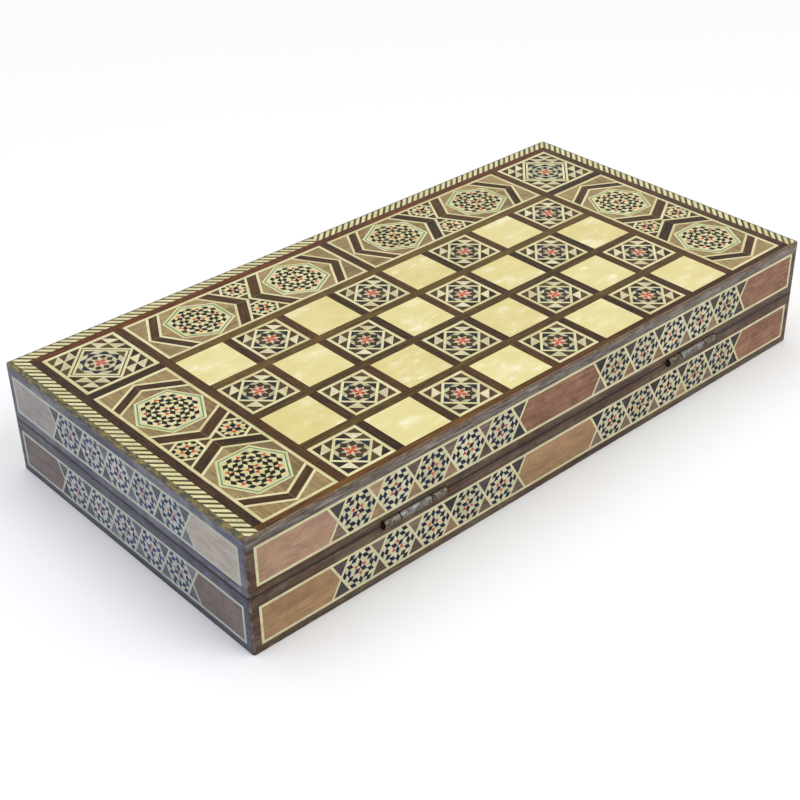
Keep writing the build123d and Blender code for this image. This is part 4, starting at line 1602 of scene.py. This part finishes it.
    def build(self, stock: Stock) -> None:
        """Builds every inlaid part of this side and dresses the pearl squares.

        Args:
            stock: the store of materials.
        """
        face, name, d = self.half.outer_face(), self.half.value, self.depths
        strips = self.sheet("walnut_strips", "walnut_strip", 1)
        for wood, pieces in self.strips().items():
            strips.lay(face, wood, pieces, d.low, 0.0)
        strips.make(stock, f"{name}_walnut_strips")
        banding = self.sheet("striped_banding", "mosaic", 2)
        for wood, pieces in self.stripes().items():
            banding.lay(face, wood, pieces, d.low, d.high)
        banding.make(stock, f"{name}_striped_banding")
        stars = self.sheet("star_squares", "mosaic", 3)
        for centre in self.squares():
            StarSquare(self.square).lay(Spot(stars, face, d, centre))
        stars.make(stock, f"{name}_star_squares")
        corners = self.sheet("corner_stars", "mosaic", 4)
        middle_y = self.block_y + self.block / 2
        sides = (self.left + self.block / 2, self.right - self.block / 2)
        for x in sides:
            CornerStar(self.block).lay(Spot(corners, face, d, np.array([x, middle_y])))
        corners.make(stock, f"{name}_corner_stars")
        panels = self.sheet("hexagon_panels", "mosaic", 5)
        length = round(self.block_y - self.strip - self.first_y, 3)
        for x in sides:
            centre = np.array([x, self.first_y + length / 2])
            HexagonPanel(self.block, length).lay(Spot(panels, face, d, centre))
        for side, turn in ((-1, 0.0), (1, 180.0)):
            centre = np.array([self.middle + side * 2 * self.pitch, middle_y])
            HexagonPanel(self.block, length, turn).lay(Spot(panels, face, d, centre, 90.0))
        panels.make(stock, f"{name}_hexagon_panels")
        stock.dress(f"{name}_pearl_squares",
                    Nacre("lacquered mother of pearl", self.pitch,
                          (self.first_x - self.strip / 2, self.first_y - self.strip / 2)))


TRIANGLE_WOODS = {"d": "dusk", "m": "umber", "t": "fawn", "s": "slate"}


@dataclass(frozen=True)
class FriezeWoods:
    """The woods of one side of one tray, whose panels run from its left to its right.

    Each group of hexagons has a word for its upper triangles and one for its lower ones, from left
    to right, with a letter for each wood.
    """

    panels: tuple[str, ...]
    triangles: tuple[tuple[str, str], ...] = (("dmmmmd", "mtmtmd"), ("dmmmmd", "mtmtmd"))
    ground: str = "cool_ground"
    dark: str = "ink"
    red: str = "coral"


@dataclass
class Friezes:
    """The inlaid bands around the four sides of one tray."""

    half: Half
    margin: float = 4.9
    line: float = 0.75
    slant: float = 0.65
    long_pitch: float = 23.5
    short_pitch: float = 22.2
    group_place: float = 89.0
    hexagons: int = 5
    depths: Depths = Depths(-1.2, -0.04, -0.01, 0.0)

    def __post_init__(self) -> None:
        """Reads the band's middle and height from the frame."""
        low, high = span(f"{self.half.value}_side_stringing")[2]
        self.middle = round((low + high) / 2, 3)
        self.top = round(high - low, 3) / 2 - self.line

    def sides(self) -> list[tuple[Face, float, float, tuple[float, ...], FriezeWoods]]:
        """The four sides of the tray.

        Returns:
            Each side's face, length, hexagon pitch, group places and woods.
        """
        z, up = self.middle, (0, 0, 1)
        pair, one = (-self.group_place, self.group_place), (0.0,)
        lid = self.half is Half.LID
        front = ("blush", "russet", "russet") if lid else ("honey", "honey", "russet")
        front_triangles = ((("dtmmmd", "mtttmd"), ("dddddd", "mttmtd")) if lid else
                           (("dmmddd", "dmmtmm"), ("dddddd", "mmmtmd")))
        # The left side's woods are bluer and greyer copies of the others: painted cool reflection and
        # painted shade
        tinted = FriezeWoods(("stone", "ashen") if lid else ("mauve", "mauve"),
                            (("ssssss", "ssssss"),), "frost", "indigo", "cool_lit_coral")
        length, depth = RIGHT - LEFT, LATCH_SIDE - HINGE_SIDE
        return [(Face((0, HINGE_SIDE, z), (1, 0, 0), up, (0, -1, 0)), length, self.long_pitch,
                 pair, FriezeWoods(front, front_triangles)),
                (Face((0, LATCH_SIDE, z), (-1, 0, 0), up, (0, 1, 0)), length, self.long_pitch,
                 pair, FriezeWoods(("honey", "russet", "honey"))),
                (Face((LEFT, MIDDLE_Y, z), (0, -1, 0), up, (-1, 0, 0)), depth, self.short_pitch,
                 one, tinted),
                (Face((RIGHT, MIDDLE_Y, z), (0, 1, 0), up, (1, 0, 0)), depth, self.short_pitch,
                 one, FriezeWoods(("honey", "blush")))]

    def hexagon(self, pitch: float) -> Outline:
        """One hexagon with its flat sides up and down, between the lines.

        Args:
            pitch: distance between hexagons.

        Returns:
            The corner points.
        """
        top = self.top
        points = np.array([[-pitch / 4, -top], [pitch / 4, -top], [pitch / 2, 0],
                           [pitch / 4, top], [-pitch / 4, top], [-pitch / 2, 0]])
        return inner(points, *[self.line, self.slant, self.slant] * 2)

    def triangle(self, pitch: float) -> Outline:
        """The triangle above a meeting of two hexagons."""
        points = np.array([[0, 0], [pitch / 4, self.top], [-pitch / 4, self.top]])
        return inner(points, self.slant, self.line, self.slant)

    def panels(self, length: float, pitch: float, groups: tuple[float, ...]) -> Pieces:
        """Plain panels between the groups, with their ends cut to the hexagons' slant.

        Args:
            length: the side's length.
            pitch: distance between hexagons.
            groups: middle of each group.

        Returns:
            One outline for each half of a panel, above and below its middle.
        """
        top, end, reach = self.top, length / 2 - self.margin - self.line, self.hexagons / 2 * pitch
        marks = [-end, *(group + side * reach for group in groups for side in (-1, 1)), end]
        found = []
        for k in range(0, len(marks), 2):
            a, b = marks[k], marks[k + 1]
            cut_a, side_a = (0.0, self.line) if k == 0 else (pitch / 4, self.slant)
            cut_b, side_b = (0.0, self.line) if b == end else (pitch / 4, self.slant)
            upper = np.array([[a, 0], [b, 0], [b - cut_b, top], [a + cut_a, top]])
            lower = np.array([[a + cut_a, -top], [b - cut_b, -top], [b, 0], [a, 0]])
            found.append(inner(upper, 0.0, side_b, self.line, side_a))
            found.append(inner(lower, self.line, side_b, 0.0, side_a))
        return found

    def build(self, stock: Stock) -> None:
        """Builds the hexagons and the veneers, and dresses the stringing.

        Args:
            stock: the store of materials.
        """
        name, d, seed = self.half.value, self.depths, self.half.seed(40, 20)
        roses = Marquetry(f"{name}_side_hexagons_inlay", name, "mosaic", seed)
        veneers = Marquetry(f"{name}_side_veneers_inlay", name, "side_veneer", seed + 1)
        lattice = StarLattice(spacing=2.75, long=4.9, short=2.95, tip=(2.4, 2.7))
        for face, length, pitch, groups, woods in self.sides():
            hexagon, triangle = self.hexagon(pitch), self.triangle(pitch)
            band = Spot(veneers, face, d, np.zeros(2))
            for group, rows in zip(groups, woods.triangles):
                for k in range(self.hexagons):
                    place = group + (k - (self.hexagons - 1) / 2) * pitch
                    spot = Spot(roses, face, d, np.array([place, 0.0]))
                    spot.lay(woods.ground, [hexagon], d.ground)
                    rose = lattice.frieze_rose(90.0 if k % 2 == 0 else 30.0, hexagon)
                    for wood, pieces in rose.items():
                        key, high = (woods.dark, d.high) if wood == "ebony" else (woods.red, d.line)
                        spot.lay(key, pieces, high)
                for k, letters in enumerate(zip(*rows)):
                    spot = band.moved(np.array([group + (k - self.hexagons / 2) * pitch, 0.0]))
                    for letter, turn in zip(letters, (0.0, 180.0)):
                        spot.lay(TRIANGLE_WOODS[letter], [triangle], d.high, turn, 0.0)
            halves = self.panels(length, pitch, groups)
            for k, wood in enumerate(woods.panels):
                band.lay(wood, halves[2 * k:2 * k + 2], d.high, grain=0.0)
        roses.make(stock, f"{name}_side_hexagons")
        veneers.make(stock, f"{name}_side_veneers")
        # The blue tint on the left end face of the stringing is painted cool reflection
        stock.dress(f"{name}_side_stringing",
                    Wood("lacquered pale stringing on the sides", "c4bb90", "e2dbb4", run=Run.X,
                         streak=(14.0, 2.0), contrast=0.8, pores=0.12, drift="d8e3ff"))


@dataclass
class Rails:
    """The mitred walls of one tray."""

    half: Half

    def build(self, stock: Stock) -> None:
        """Dresses the four rails and the board.

        Args:
            stock: the store of materials.
        """
        grain = {"streak": (44.0, 1.5), "fibre": (12.0, 0.5), "contrast": 1.1, "mottle": 0.42,
                 "stain": 6.0}
        # The left rails' blue-grey woods below are painted cool reflection, with painted shade in the
        # base's dimmer one; this warm tint covers every face but the outer left one
        inside = {"drift": "f2cba4", "drift_span": (LEFT + 0.2, LEFT + 0.5)}
        brown_x = Wood("stained walnut grain along the box", "302419", "7f6a53", run=Run.X, **grain)
        brown_y = Wood("stained walnut grain across the box", "302419", "7f6a53", run=Run.Y, **grain)
        if self.half is Half.LID:
            left = Wood("faded blue-grey walnut grain across the box", "3c3e48", "84868f",
                        run=Run.Y, **grain, **inside)
        else:
            left = Wood("dim blue-grey walnut grain across the box", "33353f", "6c6c76",
                        run=Run.Y, **grain, **inside)
        for side, wood, wear in (
                ("hinge", brown_x, {"dust": "7d5a36", "grime": "4c3524", "crust": 0.6,
                                    "top_fade": 0.6, "bleach": 0.65}),
                # The left rail's lavender drift tint is painted cool reflection too
                ("latch", brown_x, {}), ("left", left, {"drift": "cfc8e2", "foot": 0.75}),
                ("right", brown_y, {})):
            stock.dress(f"{self.half.value}_{side}_rail",
                        WornRail(f"worn {wood.name}, {side} side", wood, **wear))
        stock.dress(f"{self.half.value}_board",
                    Wood("plain plywood", "8b6a47", "b6936a", run=Run.X, streak=(70.0, 6.0)))


@dataclass
class BackgammonFloor:
    """The veneered inner floor of one tray with its points and rose."""

    half: Half
    ring_widths: tuple[float, float, float] = (0.9, 0.7, 0.6)
    depths: Depths = Depths(-1.0, -0.06, -0.02, 0.0)

    def build(self, stock: Stock) -> None:
        """Builds the middle rose and dresses the floor and the points.

        Args:
            stock: the store of materials.
        """
        name, d = self.half.value, self.depths
        stock.dress(f"{name}_floor", Wood("walnut floor veneer", "5a3f2a", "8c6a49", run=Run.X,
                                          streak=(70.0, 5.0)))
        stock.dress(f"{name}_light_points", Wood("pale maple veneer", "c9b27f", "e6d7a8", run=Run.X,
                                                 streak=(50.0, 3.0), contrast=0.8, pores=0.15))
        stock.dress(f"{name}_dark_points", Wood("dark wenge veneer", "2a1c14", "4d3626", run=Run.X,
                                                streak=(50.0, 2.0)))
        rose = Marquetry(f"{name}_floor_medallion_inlay", name, "mosaic", self.half.seed(61, 60))
        spot = Spot(rose, self.half.inner_face(), d, np.zeros(2))
        first, second, third = self.ring_widths
        outer = regular(6, span(f"{name}_floor_medallion")[0][1], 0.0)
        green = inner(outer, first)
        pale = inner(green, second)
        spot.lay("ground", [inner(outer, HAIR)], d.ground)
        spot.lay("bone", border(outer, first) + border(pale, third), d.high)
        spot.lay("green", border(green, second), d.high - HAIR)
        for wood, pieces in StarLattice(spacing=2.55, long=4.2, short=2.4).large_rose().items():
            spot.lay(wood, pieces, d.line)
        rose.make(stock, f"{name}_floor_medallion")


class Fittings:
    """Hinges with their screws, and the swing hook."""

    def build(self, stock: Stock) -> None:
        """Dresses the metal.

        Args:
            stock: the store of materials.
        """
        bright = KnuckleMetal("dull nickelled hinge strip", "8d8b88", "5a544d", patch=3.0,
                              roughness=0.5)
        brown = KnuckleMetal("browned hinge strip", "857c6f", "453c33", patch=1.6, roughness=0.55)
        nickel = AgedMetal("dull nickelled hook strip", "8f8a81", "574f47", patch=3.0,
                           roughness=0.5)
        steel = AgedMetal("tarnished steel wire and screws", "7f7a72", "4d463e", roughness=0.4)
        for node, finish in (("hinge_base_leaves", bright), ("hinge_lid_leaves", brown),
                             ("latch_hook", nickel)):
            stock.dress(node, finish)
        for node in ("hinge_pins", "hinge_base_screws", "hinge_lid_screws", "latch_pivot_screw",
                     "latch_stud"):
            stock.dress(node, steel)


class PlayingPieces:
    """Turned chessmen, checkers and dice kept in the tray."""

    def build(self, stock: Stock) -> None:
        """Dresses the men of both sides, the checkers and the dice.

        Args:
            stock: the store of materials.
        """
        pale = Wood("turned and waxed boxwood", "b98f5b", "e0bd87", run=Run.Y, streak=(30.0, 2.4),
                    fibre=(7.0, 0.5), contrast=0.8, pores=0.18, roughness=0.36)
        dark = Wood("turned and waxed stained walnut", "2e1c12", "5e4029", run=Run.Y,
                    streak=(30.0, 2.4), fibre=(7.0, 0.5), roughness=0.36)
        for kind in ("pawns", "rooks", "knights", "bishops", "queen", "king"):
            stock.dress(f"{kind}_light", pale)
            stock.dress(f"{kind}_dark", dark)
        stock.dress("checkers_light", pale)
        stock.dress("checkers_dark", dark)
        stock.dress("dice", CastResin("ivory moulded resin"))


@dataclass
class Studio:
    """Camera at the photograph's angle, soft lights and a white floor."""

    place: tuple[float, float, float] = (-0.48004, -0.52019, 0.46440)
    target: tuple[float, float, float] = (-0.04409, -0.02752, 0.033)
    roll: float = -1.248
    lens: float = 67.10
    sensor: float = 36.0
    aim: tuple[float, float, float] = (0.0, 0.0, 0.03)
    sky: float = 0.55
    floor_side: float = 6.0
    floor_fade: tuple[float, float] = (0.35, 1.1)

    def camera(self) -> None:
        """Adds the camera and looks from its place to its target."""
        data = bpy.data.cameras.new("camera")
        data.lens = self.lens
        data.sensor_width = self.sensor
        made = bpy.data.objects.new("camera", data)
        bpy.context.scene.collection.objects.link(made)
        look = (Vector(self.target) - Vector(self.place)).to_track_quat("-Z", "Y")
        made.matrix_world = (Matrix.Translation(Vector(self.place)) @ look.to_matrix().to_4x4()
                             @ Matrix.Rotation(math.radians(self.roll), 4, "Z"))
        bpy.context.scene.camera = made

    def lamp(self, name: str, place: tuple[float, float, float], size: float, power: float,
             tint: str = "ffffff") -> None:
        """Adds a square soft light that faces the box.

        Args:
            name: the lamp's name.
            place: where it stands, in metres.
            size: its side, in metres.
            power: its power, in watts.
            tint: its colour.
        """
        data = bpy.data.lights.new(name, "AREA")
        data.size = size
        data.energy = power
        data.color = colour(tint)[:3]
        made = bpy.data.objects.new(name, data)
        bpy.context.scene.collection.objects.link(made)
        aim = (Vector(self.aim) - Vector(place)).to_track_quat("-Z", "Y")
        made.matrix_world = Matrix.Translation(Vector(place)) @ aim.to_matrix().to_4x4()

    def white_world(self) -> None:
        """Even grey light from all round, which the camera, gloss and glass see as white."""
        world = bpy.data.worlds.new("studio")
        bpy.context.scene.world = world
        world.use_nodes = True
        tree = world.node_tree
        path = add_node(tree, "LightPath")
        seen = add_node(tree, "Math", {"operation": "MAXIMUM"},
                        {0: path.outputs["Is Camera Ray"], 1: path.outputs["Is Transmission Ray"]})
        white = add_node(tree, "Math", {"operation": "MAXIMUM"},
                         {0: seen.outputs[0], 1: path.outputs["Is Glossy Ray"]})
        level = add_node(tree, "MapRange", {}, {"Value": white.outputs[0], "To Min": self.sky,
                                                "To Max": 1.0})
        background = tree.nodes["Background"]
        background.inputs["Color"].default_value = (1.0, 1.0, 1.0, 1.0)
        tree.links.new(level.outputs[0], background.inputs["Strength"])

    def floor(self) -> None:
        """Adds the white floor, wide enough to fill the view.

        It takes the box's shadow, and what the camera sees of it further out fades to plain white.
        """
        mesh = bpy.data.meshes.new("floor")
        side = self.floor_side
        corners = np.array([[-side, -side, 0], [side, -side, 0], [side, side, 0], [-side, side, 0]])
        mesh.from_pydata(corners, [], [[0, 1, 2, 3]])
        surface = Surface("white paper floor")
        paper = surface.node("BsdfPrincipled", {}, {"Base Color": (0.95, 0.95, 0.95, 1.0),
                                                    "Roughness": 0.9, "Specular IOR Level": 0.1})
        glow = surface.node("Emission", {}, {"Color": "ffffff", "Strength": 1.0})
        reach = surface.node("VectorMath", {"operation": "LENGTH"}, {0: coordinates(surface)},
                             output="Value")
        seen = surface.node("LightPath", output="Is Camera Ray")
        share = surface.math("MULTIPLY", surface.ramp(reach, *self.floor_fade), seen)
        shader = surface.node("MixShader", {}, {0: share, 1: paper, 2: glow})
        mesh.materials.append(surface.close(shader))
        made = bpy.data.objects.new("floor", mesh)
        bpy.context.scene.collection.objects.link(made)

    def build(self) -> None:
        """Sets up the whole studio."""
        bpy.context.scene.view_settings.view_transform = "Standard"
        self.camera()
        self.lamp("key", (0.5, -1.1, 1.4), 1.2, 13.0)
        self.lamp("top", (-0.2, 0.4, 1.6), 1.6, 10.5)
        self.lamp("window", (-1.5, 0.3, 0.45), 1.2, 6.0, "b9cdf5")
        self.white_world()
        self.floor()
        LOG.info("studio ready")


def main() -> None:
    """Builds and dresses the chess box part by part."""
    logging.basicConfig(level=logging.INFO, format="%(name)s: %(message)s")
    stock = Stock()
    Studio().build()
    for half in Half:
        Rails(half).build(stock)
        OuterInlay(half).build(stock)
        Friezes(half).build(stock)
        BackgammonFloor(half).build(stock)
    Fittings().build(stock)
    PlayingPieces().build(stock)


if __name__ == "__main__":
    main()
